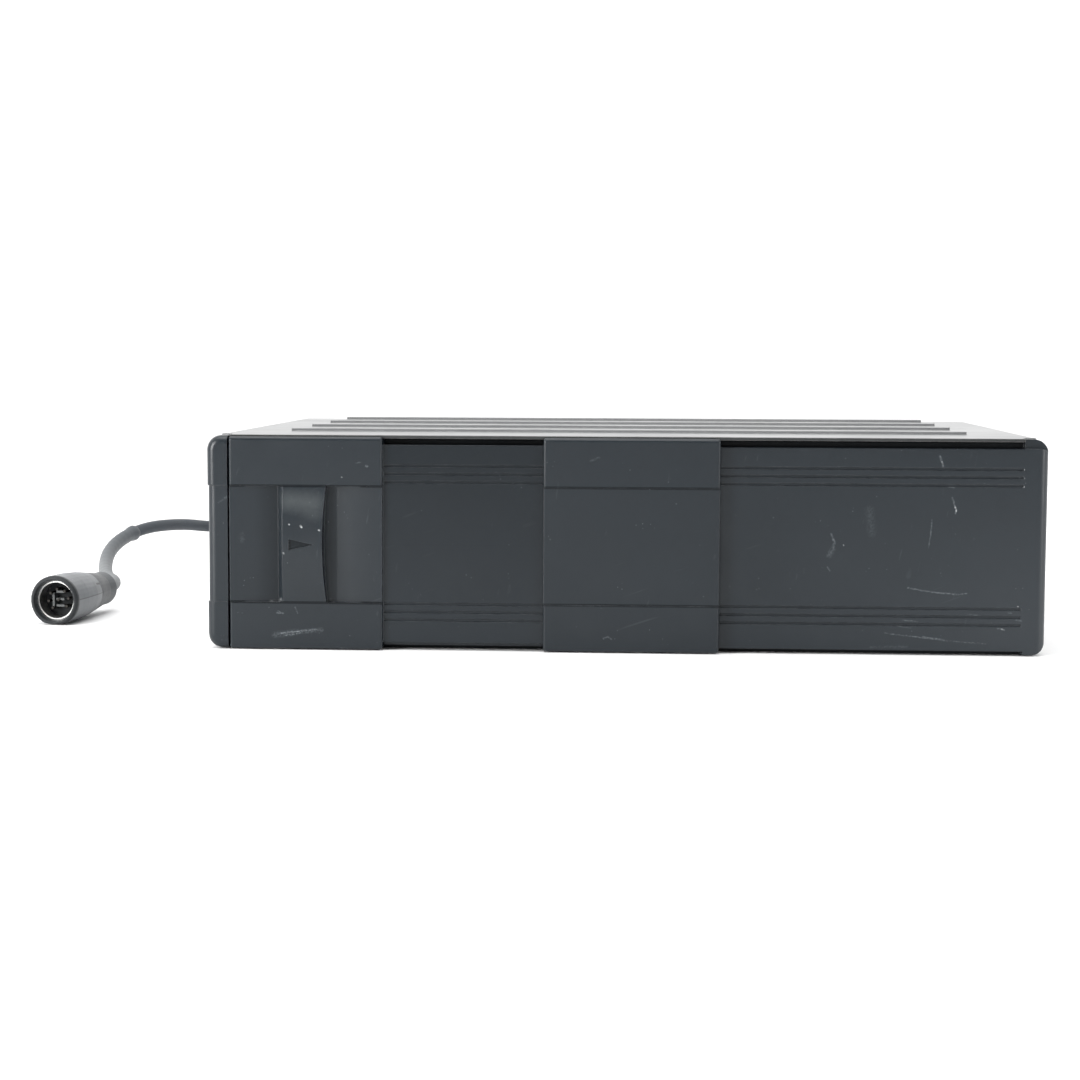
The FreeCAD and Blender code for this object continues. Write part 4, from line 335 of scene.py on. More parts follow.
def strokes(y, rows):
    """Rows of x0, z0, x1, z1, half width, strength, all but the last in millimetres."""
    return [(mm(x0, y, z0), mm(x1, y, z1), w * MM, s) for x0, z0, x1, z1, w, s in rows]


GRIP_MARKS = strokes(FRONT_Y, [
    (-108.0, 4.4, -101.0, 5.4, 1.0, 0.22), (-102.0, 5.2, -93.5, 6.2, 0.7, 0.25),
    (-106.0, 4.9, -98.6, 5.9, 0.3, 0.8), (-104.6, 4.3, -99.8, 5.1, 0.25, 0.6),
    (-100.4, 5.7, -94.8, 6.3, 0.22, 0.7), (-107.2, 11.4, -105.4, 11.2, 0.3, 0.5),
    (-107.0, 11.9, -106.2, 11.5, 0.2, 0.5), (-101.6, 13.1, -100.9, 11.2, 0.25, 0.25),
    (-79.3, 57.1, -79.0, 57.0, 0.35, 0.6), (-82.4, 57.9, -81.0, 58.2, 0.25, 0.2)])
GRIP_NICKS = strokes(BAR_Y, [
    (-99.5, 38.5, -99.3, 38.2, 0.32, 0.9), (-93.9, 37.3, -93.7, 37.2, 0.26, 0.8),
    (-103.2, 39.0, -103.1, 38.9, 0.24, 0.6), (-105.0, 30.1, -104.8, 29.9, 0.28, 0.4)])
GRIP_NICKS += strokes(FRONT_Y, [
    (-75.2, 49.8, -75.0, 49.7, 0.2, 0.6), (-87.0, 53.6, -86.9, 53.5, 0.2, 0.5)])
GRIP_NICKS += strokes(RECESS_Y, [
    (-109.3, 14.7, -107.4, 14.8, 0.75, 0.30), (-107.4, 14.8, -106.0, 15.4, 0.75, 0.30),
    (-90.9, 15.5, -89.9, 14.6, 0.8, 0.25)])
GRIP_SMEAR = strokes(RECESS_Y + 0.4, [(-118.5, 35.5, -118.3, 33.8, 1.0, 0.22)])
# Painted highlight: a soft, lighter and glossier patch on the bar, where its bulge would catch the light.
GRIP_PAINTED_HIGHLIGHT = strokes(FRONT_Y, [
    (-103.0, 46.2, -95.4, 45.4, 3.6, 0.55), (-98.6, 44.6, -95.2, 42.8, 3.0, 0.40)])
POST_MARKS = strokes(FRONT_Y, [
    (-125.4, 45.4, -122.8, 47.2, 0.4, 0.6), (-124.4, 46.2, -122.9, 46.9, 0.2, 0.7)])
PANEL_MARKS = strokes(PANEL_Y, [
    (96.2, 61.0, 97.3, 57.9, 0.35, 0.6), (100.2, 48.3, 101.0, 45.9, 0.3, 0.6),
    (101.4, 45.1, 101.2, 43.5, 0.3, 0.5), (99.4, 51.9, 100.6, 51.4, 0.3, 0.45),
    (94.2, 41.6, 93.8, 37.0, 0.22, 0.4), (93.8, 37.0, 93.2, 33.1, 0.22, 0.35),
    (63.6, 37.0, 64.6, 34.5, 0.35, 0.5), (64.6, 34.5, 64.2, 32.4, 0.5, 0.3),
    (64.2, 32.4, 63.0, 30.4, 0.9, 0.2), (75.2, 44.5, 75.9, 37.5, 1.4, 0.10),
    (62.6, 26.8, 63.4, 25.6, 0.25, 0.3), (87.2, 20.6, 94.2, 19.4, 0.26, 0.45),
    (94.2, 19.4, 102.6, 18.7, 0.26, 0.6), (102.6, 18.7, 105.2, 19.2, 0.22, 0.5),
    (85.8, 10.6, 90.4, 10.3, 0.22, 0.4), (114.8, 8.4, 116.8, 7.9, 0.22, 0.6),
    (80.4, 6.6, 100.0, 4.4, 0.20, 0.45), (92.0, 5.6, 98.0, 4.8, 0.24, 0.6),
    (100.0, 4.4, 111.2, 3.6, 0.20, 0.4), (76.2, 2.2, 87.2, 2.5, 0.4, 0.15),
    (120.2, 11.0, 121.8, 10.8, 0.28, 0.4), (118.0, 13.3, 118.8, 13.1, 0.28, 0.4),
    (84.0, 8.9, 88.2, 8.2, 0.2, 0.35), (106.0, 12.6, 109.4, 12.3, 0.2, 0.35),
    (104.6, 9.4, 108.0, 8.9, 0.2, 0.3)])
PANEL_NICKS = strokes(PANEL_Y, [
    (101.1, 45.5, 101.4, 44.2, 0.22, 0.6), (96.8, 59.3, 97.1, 58.4, 0.2, 0.5),
    (116.0, 8.2, 116.6, 8.0, 0.2, 0.8), (121.4, 57.1, 121.7, 57.1, 0.2, 0.7),
    (121.4, 54.4, 121.7, 54.4, 0.2, 0.6), (121.4, 51.8, 121.7, 51.8, 0.2, 0.6),
    (98.9, 51.9, 99.1, 51.8, 0.2, 0.6), (67.3, 33.6, 67.4, 33.5, 0.2, 0.5),
    (120.6, 15.3, 120.8, 15.2, 0.2, 0.5)])
SLIDER_MARKS = strokes(FRONT_Y, [
    (-10.2, 59.0, -7.6, 60.2, 0.35, 0.2), (-6.0, 4.4, -4.6, 5.0, 0.25, 0.45),
    (-4.6, 5.0, -3.4, 4.2, 0.22, 0.4), (-24.4, 15.0, -9.0, 14.4, 0.2, 0.28),
    (-6.0, 14.6, 3.0, 14.8, 0.2, 0.25), (20.0, 14.5, 26.0, 14.6, 0.2, 0.2)])

# ---------------------------------------------------------------- finishes of the front
SLATE = (0.0075, 0.0115, 0.0155)
SLATE_LIGHT = (0.19, 0.21, 0.225)
SATIN = 0.285
MOULDING_GRAIN = 0.000014


def moulding(name, color=SLATE, marks=(), nicks=(), smear=(), painted_highlight=()):
    """Dark slate plastic of the front; the caller adds its painted shade and its grain."""
    p = Paint(name, color, SATIN, Specular_IOR_Level=0.37)
    p.round_edges(0.0005)
    p.mottle(0.06)
    p.smudges(0.14)
    p.hairlines(SLATE_LIGHT, 0.06, [(0, 20, 0), (0, 80, 10)])
    p.dust(SLATE_LIGHT, 0.45)
    if marks:
        p.marks(marks, SLATE_LIGHT)
    if nicks:
        p.marks(nicks, (0.55, 0.57, 0.58), ragged=0.0004, soft=0.5)
    # a soft patch painted lighter and glossier: painted highlight
    if painted_highlight:
        p.marks(painted_highlight, (0.070, 0.078, 0.080), ragged=0.0015, soft=0.0, rougher=-0.04, broken=False)
    if smear:
        p.marks(smear, SLATE_LIGHT, ragged=0.0015)
    # edges painted lighter: wear, and painted highlight
    p.worn_and_highlit_edges(SLATE_LIGHT, 0.12)
    return p


def band_grooves(p):
    """1 in the two level grooves that cross the blocks' faces."""
    low, high = [p.fade(p.away_from(p.axis(z=1), z), 0.50, 0.34) for z in BAND_Z]
    return p.both(p.either(low, high), p.fade(p.axis(y=1), FRONT_Y + 1.0, FRONT_Y + 0.9))


def arrow(p):
    """1 in the sunk arrow on the bar, which points right."""
    across = p.axis(x=1)
    taper = p.math("SUBTRACT", 1.0, p.fade(across, ARROW_X, ARROW_X + ARROW_LENGTH))
    inside = p.math("SUBTRACT", p.both(taper, ARROW_HALF * MM), p.away_from(p.axis(z=1), ARROW_Z))
    return p.both(p.fade(inside, -0.05, 0.1), p.fade(across, ARROW_X - 0.1, ARROW_X))


def block_moulding(name, **surface):
    """The sliding blocks: their grooves get painted shade."""
    p = moulding(name, **surface)
    p.sink(band_grooves(p), 0.45)
    p.grain(MOULDING_GRAIN)
    return p.done()


def grip_moulding():
    """The block with the finger recesses: painted shade in its grooves, in the sunk arrow, beside the bar,
    and on the plate under the lip.
    """
    p = moulding("grip_moulding", marks=GRIP_MARKS, nicks=GRIP_NICKS, smear=GRIP_SMEAR, painted_highlight=GRIP_PAINTED_HIGHLIGHT)
    across, up = p.axis(x=1), p.axis(z=1)
    # painted shade in the level grooves and in the sunk arrow
    p.sink(band_grooves(p), 0.5)
    p.sink(arrow(p), 0.42)
    # painted shade in both recesses, darkest beside the bar
    behind = p.fade(p.axis(y=1), FRONT_Y + 0.8, FRONT_Y + 1.6)
    left = p.both(p.fade(across, *BAR_SHADE_LEFT), p.fade(across, BAR_X + 0.05, BAR_X - 0.05))
    right = p.both(p.fade(across, *BAR_SHADE_RIGHT), p.fade(across, BAR_X - 0.05, BAR_X + 0.05))
    p.sink(p.both(behind, p.either(left, right)), 0.26)
    # painted shade on the plate, strongest at its top, under the lip
    plate = p.both(behind, p.fade(across, BLOCK_EDGE_X - 0.05, BLOCK_EDGE_X + 0.05))
    p.sink(p.both(plate, p.fade(up, 5.0, 62.0, 0.15)), 0.26)
    p.grain(MOULDING_GRAIN)
    return p.done()


def bezel_moulding():
    """The fixed front: painted shade in its grooves and on the rails behind the blocks, and a painted
    reflection that makes the panel paler towards its lower right."""
    p = moulding("front_moulding", marks=PANEL_MARKS + POST_MARKS, nicks=PANEL_NICKS)
    across, back, up = p.axis(x=1), p.axis(y=1), p.axis(z=1)
    between = p.both(p.fade(across, POST_EDGE_X - 0.1, POST_EDGE_X + 0.1),
                     p.fade(across, PANEL_END_X + 0.1, PANEL_END_X - 0.1))
    # painted shade on everything set back from the panel's face, and more on the rails behind the blocks
    p.sink(p.both(between, p.fade(back, PANEL_Y + 0.08, PANEL_Y + 0.3)), 0.12)
    p.sink(p.both(between, p.fade(back, PANEL_Y + 0.45, PANEL_Y + 0.6)), 0.62)
    # painted reflection: the panel paler towards its lower right, where the light falls
    painted_reflection = p.both(p.fade(across, 40.0, 122.0), p.fade(up, 60.0, 4.0, 0.2))
    p.tint(p.both(painted_reflection, 0.30), (0.050, 0.058, 0.066))
    p.grain(MOULDING_GRAIN)
    return p.done()


# ---------------------------------------------------------------- other finishes
def case_paint():
    """Dark satin paint on the cover and chassis. Painted shade darkens the lower part of the cover's front
    edge, and less its upper part and the top beside it, which shine less than the top; the ribs' tops are
    painted paler, as painted light."""
    p = Paint("case_paint", (0.056, 0.059, 0.061), SATIN, Specular_IOR_Level=1.0)
    p.round_edges(0.0008)
    p.mottle(0.06, 18.0)
    p.smudges(0.10, 22.0)
    p.hairlines((0.16, 0.17, 0.18), 0.3, [(0, 0, 15), (0, 0, -40), (0, 0, 85)], scale=600.0)
    p.dust((0.30, 0.30, 0.29), 0.5, 420.0)
    # edges painted lighter: wear, and painted highlight
    p.worn_and_highlit_edges((0.36, 0.36, 0.35), 0.45, 0.0006)
    back, up = p.axis(y=1), p.axis(z=1)
    # painted shade on the lower part of the front edge
    below = p.both(p.fade(back, LIP_Y + 0.5, LIP_Y), p.fade(up, COVER_FLAT_Z - 0.15, COVER_FLAT_Z - 0.35))
    p.sink(below, 0.6)
    # painted shade on the upper part of the front edge and the top beside it
    above = p.both(p.fade(back, LIP_Y + 3.0, LIP_Y + 0.2), p.fade(up, COVER_FLAT_Z - 0.4, COVER_FLAT_Z - 0.2))
    p.sink(above, 0.5)
    # painted light: the ribs' tops a little paler
    p.tint(p.both(p.fade(up, COVER_FLAT_Z + 0.05, COVER_FLAT_Z + 0.2), 0.35), (0.10, 0.105, 0.11))
    p.grain(0.000008, 1500.0)
    return p.done()


def sheet_metal(name, color, rough, turn=(0, 0, 0)):
    """Pressed sheet with rolling lines, smudges and a few scratches."""
    p = Paint(name, color, rough, metallic=1.0)
    p.mottle(0.05, 25.0)
    p.smudges(0.14, 30.0)
    p.hairlines((0.68, 0.68, 0.67), 0.3, [(0, 0, 25), (0, 0, -70)], scale=700.0)
    p.worn_and_highlit_edges((0.70, 0.70, 0.69), 0.5)
    p.brushed(0.000006, turn)
    return p.done()


def plated(name, color, rough):
    """Smooth plated metal with fine scratches."""
    p = Paint(name, color, rough, metallic=1.0)
    p.mottle(0.06, 120.0)
    p.smudges(0.18, 160.0)
    p.hairlines((0.9, 0.9, 0.88), 0.3, [(0, 40, 20)], scale=1500.0)
    p.grain(0.000004, 3000.0)
    return p.done()


def plain_moulding(name, color, rough, **sockets):
    """Plastic of the inner pieces, little worn."""
    p = Paint(name, color, rough, **sockets)
    p.mottle(0.06)
    p.smudges(0.10)
    p.hairlines(tuple(min(1.0, c * 1.6 + 0.05) for c in color), 0.2, [(0, 30, 15)])
    p.grain(0.000012)
    return p.done()


def rubber(name, color, rough=0.6, low_color=None):
    """Soft rubber; with a low_color it turns to that paler colour towards the bottom, as it comes down to the
    plug.
    """
    p = Paint(name, color, rough, Specular_IOR_Level=0.4)
    if low_color:
        p.tint(p.fade(p.axis(z=1), 22.5, 13.0), low_color)
    p.mottle(0.10, 60.0)
    p.smudges(0.15, 120.0)
    light = tuple(c * 1.8 + 0.04 for c in color)
    p.dust(light, 0.5, 500.0, 0.2)
    p.hairlines(light, 0.25, [(0, 25, 10), (30, -50, 0)], scale=1200.0)
    p.grain(0.00003, 1800.0)
    return p.done()


PLUG_FRONT = mm(-193.05, -31.3, 8.0)  # middle of its mouth
PLUG_YAW = math.radians(8.0)
PLUG_AHEAD = Vector((-math.sin(PLUG_YAW), -math.cos(PLUG_YAW), 0))
PLUG_RIGHT = Vector((math.cos(PLUG_YAW), -math.sin(PLUG_YAW), 0))
SEAM_LINE = [(-2.5, 8.46), (-10.5, 8.46), (-19.25, 7.96), (-25.0, 7.3)]  # along the axis, to the right
SEAM_RISE = 0.4


def plug_place(along, u=0.0, v=0.0):
    """Point on the plug, from millimetres: along its axis from the mouth (negative towards the lead), to its
    right, and up."""
    return PLUG_FRONT + (PLUG_AHEAD * along + PLUG_RIGHT * u + Vector((0, 0, v))) * MM


def plug_rubber():
    """Grey overmould with its parting line, and its latch notch painted near-black as shade in its hollow;
    its mouth and its tail are darker.
    """
    p = Paint("plug_grey", (0.130, 0.138, 0.146), 0.36, Specular_IOR_Level=0.35)
    p.round_edges(0.0006)
    p.mottle(0.10, 70.0)
    p.smudges(0.14, 120.0)
    p.dust((0.32, 0.33, 0.33), 0.5, 500.0, 0.2)
    p.hairlines((0.30, 0.31, 0.31), 0.25, [(0, 25, 10), (30, -50, 0)], scale=1200.0)
    seam_places = [plug_place(along, u, SEAM_RISE) for along, u in SEAM_LINE]
    seam = [(start, end, 0.2 * MM, 0.8) for start, end in zip(seam_places, seam_places[1:])]
    # painted shade: the latch notch's hollow drawn as a near-black patch
    notch_shade = [(plug_place(-20.6, 6.6, 3.7), plug_place(-24.0, 6.3, 3.5), 0.45 * MM, 1.0),
             (plug_place(-24.0, 6.3, 3.5), plug_place(-25.6, 7.1, 0.6), 0.35 * MM, 1.0),
             (plug_place(-25.6, 7.1, 0.2), plug_place(-23.2, 6.6, -3.1), 0.35 * MM, 1.0)]
    p.marks(seam, (0.04, 0.044, 0.047), ragged=0.0002, soft=0.4, rougher=0.0, broken=False)
    p.marks(notch_shade, (0.008, 0.009, 0.010), ragged=0.0002, soft=0.6, rougher=0.0, broken=False)
    offset = p.vector("SUBTRACT", p.where, tuple(PLUG_FRONT))
    along = p.vector("DOT_PRODUCT", offset, tuple(PLUG_AHEAD), output="Value")
    p.sink(p.fade(along, -24.0, -24.8), 0.55)
    p.sink(p.fade(along, -2.6, -1.6), 0.75)
    p.grain(0.00002, 1800.0)
    return p.done()


def laminate():
    """Green board with copper tracks under the lacquer."""
    p = Paint("board_laminate", (0.035, 0.16, 0.07), 0.35)
    p.mottle(0.08, 80.0)
    to_border = p.cells(260.0, "DISTANCE_TO_EDGE", at=p.turned((0, 0, 0), (1.0, 0.35, 1.0)))
    track = p.ramp(to_border, 0.10, 0.06)
    p.tint(p.both(track, 0.6), (0.10, 0.30, 0.10))
    p.tint(p.ramp(p.cells(190.0), 0.16, 0.13), (0.62, 0.60, 0.55))
    p.bump(track, 0.00002)
    p.grain(0.000005)
    return p.done()


def lens_glass():
    """Clear lens with a faint blue coat."""
    p = Paint("lens_glass", (0.55, 0.62, 0.85), 0.05, Transmission_Weight=0.85, IOR=1.5)
    p.smudges(0.05, 900.0)
    p.grain(0.000001, 4000.0)
    return p.done()


def coat(names, mat):
    """Puts the finish on CAD nodes through their object's material slots."""
    for name in names:
        target = nodes[name]
        if not target.material_slots:
            target.data.materials.append(None)
        for place in target.material_slots:
            place.link = "OBJECT"
            place.material = mat


STEEL = plated("bright_steel", (0.62, 0.62, 0.61), SATIN)
CORD_RUBBER = rubber("lead_rubber", (0.025, 0.032, 0.041), 0.5)
coat(["bottom_chassis", "top_cover"], case_paint())
coat(["front_bezel"], bezel_moulding())
coat(["grip_door"], grip_moulding())
coat(["centre_slider"], block_moulding("slider_moulding", marks=SLIDER_MARKS))
coat(["eject_button"], block_moulding("button_moulding", color=(0.050, 0.058, 0.066)))
coat(["magazine_shell"], plain_moulding("magazine_black", (0.028, 0.029, 0.031), 0.5))
coat(["disc_tray_%d" % i for i in range(1, 7)], plain_moulding("tray_grey", (0.26, 0.27, 0.28), 0.48))
coat(["latch_bracket", "magazine_bay", "float_frame", "deck_plate", "clamp_arm", "eject_lever", "nut_strips"],
     sheet_metal("zinc_sheet", (0.44, 0.44, 0.42), 0.36))
coat(["guide_rods", "clamp_pin", "leadscrew", "cover_screws", "eject_spring", "suspension_springs"], STEEL)
coat(["plug_shell"], plated("plug_plating", (0.46, 0.46, 0.45), 0.36))
coat(["plug_pins"], plated("pin_brass", (0.036, 0.034, 0.031), 0.5))
coat(["spindle_motor", "sled_motor", "lift_motor"],
     sheet_metal("motor_can", (0.50, 0.50, 0.49), 0.3, turn=(0, 0, 90)))
coat(["lift_cam_rear", "lift_cam_side", "lift_gear", "drive_pinion", "board_posts", "lead_header"],
     plain_moulding("acetal", (0.78, 0.76, 0.70), 0.38, Subsurface_Weight=0.05))
coat(["turntable", "clamp_puck", "pickup_sled", "angle_dial_left", "angle_dial_right", "board_chips"],
     plain_moulding("black_moulding", (0.030, 0.031, 0.034), 0.45))
coat(["damper_cups"], rubber("damper_rubber", (0.032, 0.032, 0.034)))
coat(["main_board"], laminate())
coat(["heat_sink"], sheet_metal("sink_aluminium", (0.60, 0.60, 0.60), 0.36))
coat(["pickup_lens"], lens_glass())
coat(["lead", "lead_gland"], CORD_RUBBER)
coat(["plug_body"], plug_rubber())
coat(["plug_collar"], plain_moulding("collar_dark", (0.045, 0.051, 0.056), 0.42))
coat(["plug_insert"], plain_moulding("insert_black", (0.012, 0.013, 0.014), 0.5, Specular_IOR_Level=0.15))


# ---------------------------------------------------------------- mesh and curve helpers
CURVE_STEPS = 24
CURVE_SIDES = 8
TUBE_SIDES = 24


def put_in_scene(name, data):
    made = bpy.data.objects.new(name, data)
    bpy.context.scene.collection.objects.link(made)
    return made


def curve_object(name, points, radius):
    """A NURBS curve with these control points, round in section."""
    data = bpy.data.curves.new(name, "CURVE")
    data.dimensions = "3D"
    line = data.splines.new("NURBS")
    line.points.add(len(points) - 1)
    for point, place in zip(line.points, points):
        point.co = (*place, 1.0)
    line.order_u = 3
    line.use_endpoint_u = True
    line.resolution_u = CURVE_STEPS
    data.bevel_depth = radius
    data.bevel_resolution = CURVE_SIDES
    return put_in_scene(name, data)


def line_points(points):
    """Points along the smooth line of a NURBS curve with these control points."""
    bare = curve_object("line_probe", points, 0.0)
    flat = bpy.data.meshes.new_from_object(bare.evaluated_get(bpy.context.evaluated_depsgraph_get()))
    found = [v.co.copy() for v in flat.vertices]
    bpy.data.objects.remove(bare)
    bpy.data.meshes.remove(flat)
    return found


def mesh_object(name, bm, mat, smooth=True):
    data = bpy.data.meshes.new(name)
    bm.to_mesh(data)
    bm.free()
    for face in data.polygons:
        face.use_smooth = smooth
    data.materials.append(mat)
    return put_in_scene(name, data)


def circle_frame(axis):
    """Two directions at right angles to an axis and to each other."""
    side = axis.orthogonal().normalized()
    return side, axis.cross(side)


def join_rings(bm, rings, outward=True):
    """Fills the faces between rings that have as many points each."""
    count = len(rings[0])
    for low, high in zip(rings, rings[1:]):
        for k in range(count):
            around = (k + 1) % count
            face = (low[k], low[around], high[around], high[k])
            bm.faces.new(face if outward else (face[0], face[3], face[2], face[1]))


def tube_mesh(bm, path, radii, sides):
    """Adds a closed tube along path; radii gives one radius per point."""
    side = (path[1] - path[0]).orthogonal().normalized()
    rings = []
    for i, place in enumerate(path):
        ahead = (path[min(i + 1, len(path) - 1)] - path[max(i - 1, 0)]).normalized()
        side = (side - ahead * side.dot(ahead)).normalized()
        other = ahead.cross(side)
        ring = []
        for k in range(sides):
            a = 2 * math.pi * k / sides
            ring.append(bm.verts.new(place + (side * math.cos(a) + other * math.sin(a)) * radii[i]))
        rings.append(ring)
    join_rings(bm, rings)
    bm.faces.new(list(reversed(rings[0])))
    bm.faces.new(rings[-1])


# ---------------------------------------------------------------- lead
CORD_R = 2.25
ROUTE = [mm(*p) for p in [
    (-105.75, 97.3, 28.0), (-105.75, 113.3, 28.0), (-114.75, 127.3, 27.4), (-131.75, 136.3, 26.0),
    (-153.75, 135.3, 20.2), (-171.35, 123.3, 20.9), (-180.05, 104.3, 23.7), (-190.95, 82.3, 23.6),
    (-197.75, 60.3, 18.0), (-194.65, 40.3, 9.0), (-185.117, 25.145, 8.0), (-186.926, 12.272, 8.0)]]
ON_CORD = ("lead_gland", "plug_body", "plug_collar", "plug_shell", "plug_insert", "plug_pins")
SLEEVE_REACH = 71.0
SLEEVE_WALL = 0.28
SLEEVE_RIM = 0.38
SLEEVE_RIM_POINTS = (1, 2, 3)  # counted from the end away from the plug
SLEEVE_WAVE = 0.05
SLEEVE_WAVE_PACE = 1.7


def make_sleeve():
    """Shrink sleeve on the last stretch before the plug, slightly uneven, with a rolled rim."""
    back = line_points(ROUTE)[::-1]
    reach = 0.0
    line = [back[0]]
    for a, b in zip(back, back[1:]):
        reach += (b - a).length
        if reach > SLEEVE_REACH * MM:
            break
        line.append(b)
    radii = []
    for i in range(len(line)):
        rim = SLEEVE_RIM if len(line) - 1 - i in SLEEVE_RIM_POINTS else 0.0
        radii.append((CORD_R + SLEEVE_WALL + rim + SLEEVE_WAVE * math.sin(i * SLEEVE_WAVE_PACE)) * MM)
    bm = bmesh.new()
    tube_mesh(bm, line, radii, TUBE_SIDES)
    finish = rubber("sleeve_rubber", (0.060, 0.068, 0.076), 0.5, low_color=(0.160, 0.168, 0.173))
    made = mesh_object("lead_sleeve", bm, finish)
    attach(made, "root")
    return made


def make_lead():
    """The free cord, from its gland on the back to the plug."""
    cord = curve_object("lead_cord", ROUTE, CORD_R * MM)
    cord.data.use_fill_caps = True
    cord.data.materials.append(CORD_RUBBER)
    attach(cord, "root")
    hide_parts("lead")
    [nodes[name] for name in ON_CORD] + [make_sleeve()]


# ---------------------------------------------------------------- guide ribs between the plug's contacts
GUIDE_FOOT = -8.0
GUIDE_THICK = 0.7
UPRIGHT_TIP = -5.2
UPRIGHT_U = -2.6
UPRIGHT_V = (-3.0, 2.2)
LEVEL_TIP = -4.6
LEVEL_U = (-0.9, 1.9)
LEVEL_V = (2.3, -0.2, -2.4)
BOX_FACES = ((3, 2, 1, 0), (4, 5, 6, 7), (0, 1, 5, 4), (1, 2, 6, 5), (2, 3, 7, 6), (3, 0, 4, 7))


def plug_box(bm, u, v, along):
    """Closed box on the plug, between two places each to its right, up and along its axis."""
    around = ((u[0], v[0]), (u[1], v[0]), (u[1], v[1]), (u[0], v[1]))
    corners = [bm.verts.new(plug_place(a, *place)) for a in reversed(along) for place in around]
    for face in BOX_FACES:
        bm.faces.new([corners[i] for i in face])


def make_plug_guides():
    """One upright rib and three level ones, standing on the insulator."""
    bm = bmesh.new()
    plug_box(bm, (UPRIGHT_U, UPRIGHT_U + GUIDE_THICK), UPRIGHT_V, (GUIDE_FOOT, UPRIGHT_TIP))
    for v in LEVEL_V:
        plug_box(bm, LEVEL_U, (v, v + GUIDE_THICK), (GUIDE_FOOT, LEVEL_TIP))
    finish = plain_moulding("guide_grey", (0.060, 0.064, 0.064), 0.35)
    guides = mesh_object("plug_guides", bm, finish, smooth=False)
    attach(guides, "root")


# ---------------------------------------------------------------- case screws
SIDE_OUT = box_mm("top_cover")[1][0]
CASE_BACK = box_mm("top_cover")[1][1]
SIDE_SCREW_YS = (-60.7, 70.3)
SIDE_SCREW_Z = 4.5
BACK_SCREW_XS = (-92.75, 92.75)
BACK_SCREW_Z = 59.5
HEAD_R = 2.55
HEAD_H = 1.35
HEAD_RIM_SHARE = 0.55
HEAD_SIDES = 48
HEAD_RINGS = 15
CROSS_HALF = 0.34
CROSS_REACH = 1.45
CROSS_DEPTH = 0.85
CROSS_CONE_R = 1.9
SHANK_R = 1.2
SHANK_L = 4.0


def screw_mesh(bm, place, out):
    """Pan head with a cross recess, pushed into a fine polar grid, on a short shank."""
    side, other = circle_frame(out)
    spin = random.uniform(0, math.pi / 2)
    rings = []
    for j in range(HEAD_RINGS):
        tilt = j / (HEAD_RINGS - 1) * math.pi / 2
        r = HEAD_R * math.sin(tilt)
        dome = HEAD_H * (HEAD_RIM_SHARE + (1 - HEAD_RIM_SHARE) * math.cos(tilt))
        ring = []
        for k in range(HEAD_SIDES):
            a = 2 * math.pi * k / HEAD_SIDES
            far, near = sorted((abs(r * math.cos(a)), abs(r * math.sin(a))), reverse=True)
            in_cross = near < CROSS_HALF and far < CROSS_REACH
            pushed = CROSS_DEPTH * (1 - far / CROSS_CONE_R) if in_cross else 0.0
            around = side * math.cos(a + spin) + other * math.sin(a + spin)
            ring.append(bm.verts.new(place + around * r * MM + out * (dome - pushed) * MM))
        rings.append(ring)
    rings.append([bm.verts.new(v.co - out * (v.co - place).dot(out)) for v in rings[-1]])
    join_rings(bm, rings, outward=False)
    bm.faces.new(list(reversed(rings[-1])))
    tube_mesh(bm, [place, place - out * SHANK_L * MM], [SHANK_R * MM] * 2, TUBE_SIDES)


def make_screws():
    bm = bmesh.new()
    for y in SIDE_SCREW_YS:
        for side in (-1, 1):
            screw_mesh(bm, mm(side * SIDE_OUT, y, SIDE_SCREW_Z), Vector((side, 0, 0)))
    for x in BACK_SCREW_XS:
        screw_mesh(bm, mm(x, CASE_BACK, BACK_SCREW_Z), Vector((0, 1, 0)))
    bmesh.ops.remove_doubles(bm, verts=bm.verts, dist=0.000001)
    screws = mesh_object("case_screws", bm, STEEL)
    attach(screws, "root")
    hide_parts("cover_screws")


# ---------------------------------------------------------------- springs
END_TURNS = 2  # one closed turn at each end
TURN_STEPS = 20
WIRE_SIDES = 8
EJECT_SPRING_FOOT = (5.25, -74.7, 56.6)
FLOAT_SPRING_FEET = [(-116.25, -50.8, 1.0), (115.15, -50.8, 1.0)]


def coil_mesh(bm, foot, axis, length, radius, wire, turns):
    """A compression spring from its foot, in millimetres: outer radius, radius of the wire, and so many open
    turns between one closed turn at each end."""
    side, other = circle_frame(axis)
    total_turns = turns + END_TURNS
    path = []
    for i in range(total_turns * TURN_STEPS + 1):
        turn = i / TURN_STEPS
        if turn < 1:
            rise = turn * 2 * wire
        elif turn > total_turns - 1:
            rise = length - 2 * wire - (total_turns - turn) * 2 * wire
        else:
            rise = 2 * wire + (turn - 1) / turns * (length - 6 * wire)
        a = 2 * math.pi * turn
        around = side * math.cos(a) + other * math.sin(a)
        path.append(mm(*foot) + (axis * (wire + rise) + around * (radius - wire)) * MM)
    tube_mesh(bm, path, [wire * MM] * len(path), WIRE_SIDES)


def spring_object(name, stands_for, feet, axis, **coil):
    bm = bmesh.new()
    for foot in feet:
        coil_mesh(bm, foot, Vector(axis), **coil)
    made = mesh_object(name, bm, STEEL)
    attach(made, "root")
    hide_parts(stands_for)


def make_springs():
    spring_object("eject_coil", "eject_spring", [EJECT_SPRING_FOOT], (0, 1, 0),
                  length=5.0, radius=3.4, wire=0.3, turns=3)
    spring_object("float_coils", "suspension_springs", FLOAT_SPRING_FEET, (0, 0, 1),
                  length=8.0, radius=5.0, wire=0.35, turns=4)


# ---------------------------------------------------------------- floor and light, in metres
FLOOR_HALF = 4.0
FLOOR_Z = -0.0002
WORLD_LIGHT = 1.7
WORLD_DARK_SIDE = 0.89


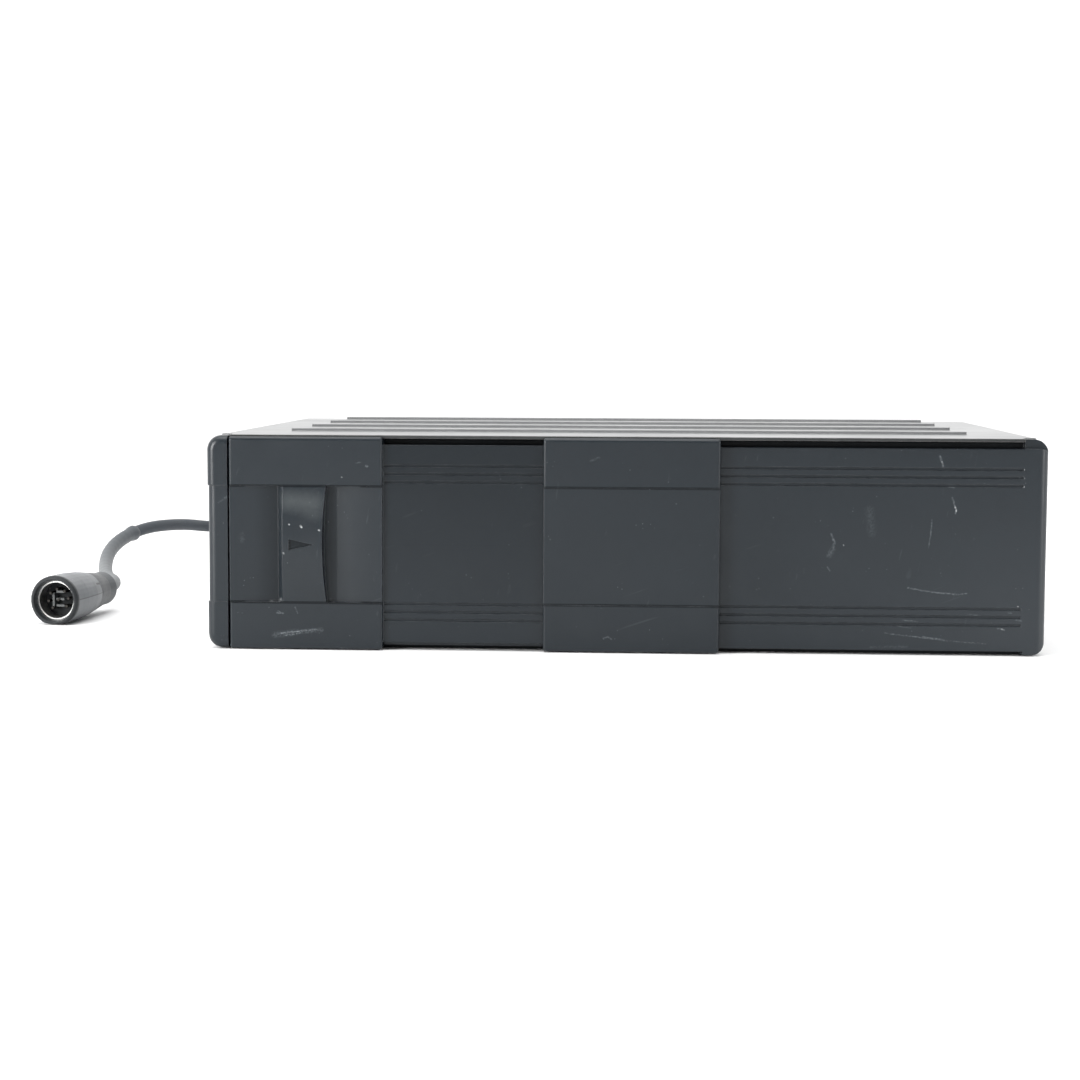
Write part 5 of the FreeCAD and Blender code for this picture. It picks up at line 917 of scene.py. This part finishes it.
def make_floor():
    paint = Paint("floor_paper", (0.90, 0.90, 0.90), 0.9)
    paint.mottle(0.01, 3.0)
    bm = bmesh.new()
    for x, y in ((-1, -1), (1, -1), (1, 1), (-1, 1)):
        bm.verts.new((x * FLOOR_HALF, y * FLOOR_HALF, FLOOR_Z))
    bm.faces.new(bm.verts)
    mesh_object("floor", bm, paint.done(), smooth=False)


def make_world():
    """A white room: bright behind and above the object, dim in front of it."""
    world = bpy.data.worlds.new("studio")
    bpy.context.scene.world = world
    world.use_nodes = True
    tree = world.node_tree
    sky = tree.nodes["Background"]
    sky.inputs["Color"].default_value = (1.0, 1.0, 1.0, 1.0)
    direction = tree.nodes.new("ShaderNodeSeparateXYZ")
    tree.links.new(tree.nodes.new("ShaderNodeTexCoord").outputs["Generated"], direction.inputs[0])

    def ramp(socket, *ends):
        made = tree.nodes.new("ShaderNodeMapRange")
        tree.links.new(socket, made.inputs["Value"])
        for key, value in zip(("From Min", "From Max", "To Min", "To Max"), ends):
            made.inputs[key].default_value = value
        return made.outputs[0]

    in_front = ramp(direction.outputs["Y"], -0.05, -0.65, 0.0, 1.0)
    not_above = ramp(direction.outputs["Z"], 0.80, 0.98, 1.0, 0.0)
    shade = tree.nodes.new("ShaderNodeMath")
    shade.operation = "MULTIPLY"
    tree.links.new(in_front, shade.inputs[0])
    tree.links.new(not_above, shade.inputs[1])
    strength = ramp(shade.outputs[0], 0.0, 1.0, WORLD_LIGHT, WORLD_LIGHT * (1 - WORLD_DARK_SIDE))
    tree.links.new(strength, sky.inputs["Strength"])


def area_light(name, at, aim, size, power):
    data = bpy.data.lights.new(name, "AREA")
    data.shape = "RECTANGLE"
    data.size, data.size_y = size
    data.energy = power
    lamp = put_in_scene(name, data)
    lamp.location = at
    lamp.rotation_euler = (Vector(aim) - Vector(at)).to_track_quat("-Z", "Y").to_euler()


make_camera()
make_lead()
make_plug_guides()
make_screws()
make_springs()
make_floor()
make_world()
area_light("top_light", at=(-0.1, -0.26, 0.85), aim=(0, -0.10, 0), size=(0.8, 0.4), power=3.8)
area_light("left_light", at=(-0.62, -0.55, 0.23), aim=(-0.02, -0.08, 0.05), size=(0.25, 0.42), power=6.0)
area_light("right_light", at=(0.80, -0.45, 0.20), aim=(0.05, -0.08, 0.05), size=(0.20, 0.36), power=2.5)
area_light("front_light", at=(-0.12, -1.7, 0.37), aim=(0, 0, 0.04), size=(0.5, 0.06), power=0.9)
bpy.context.scene.view_settings.view_transform = "Standard"
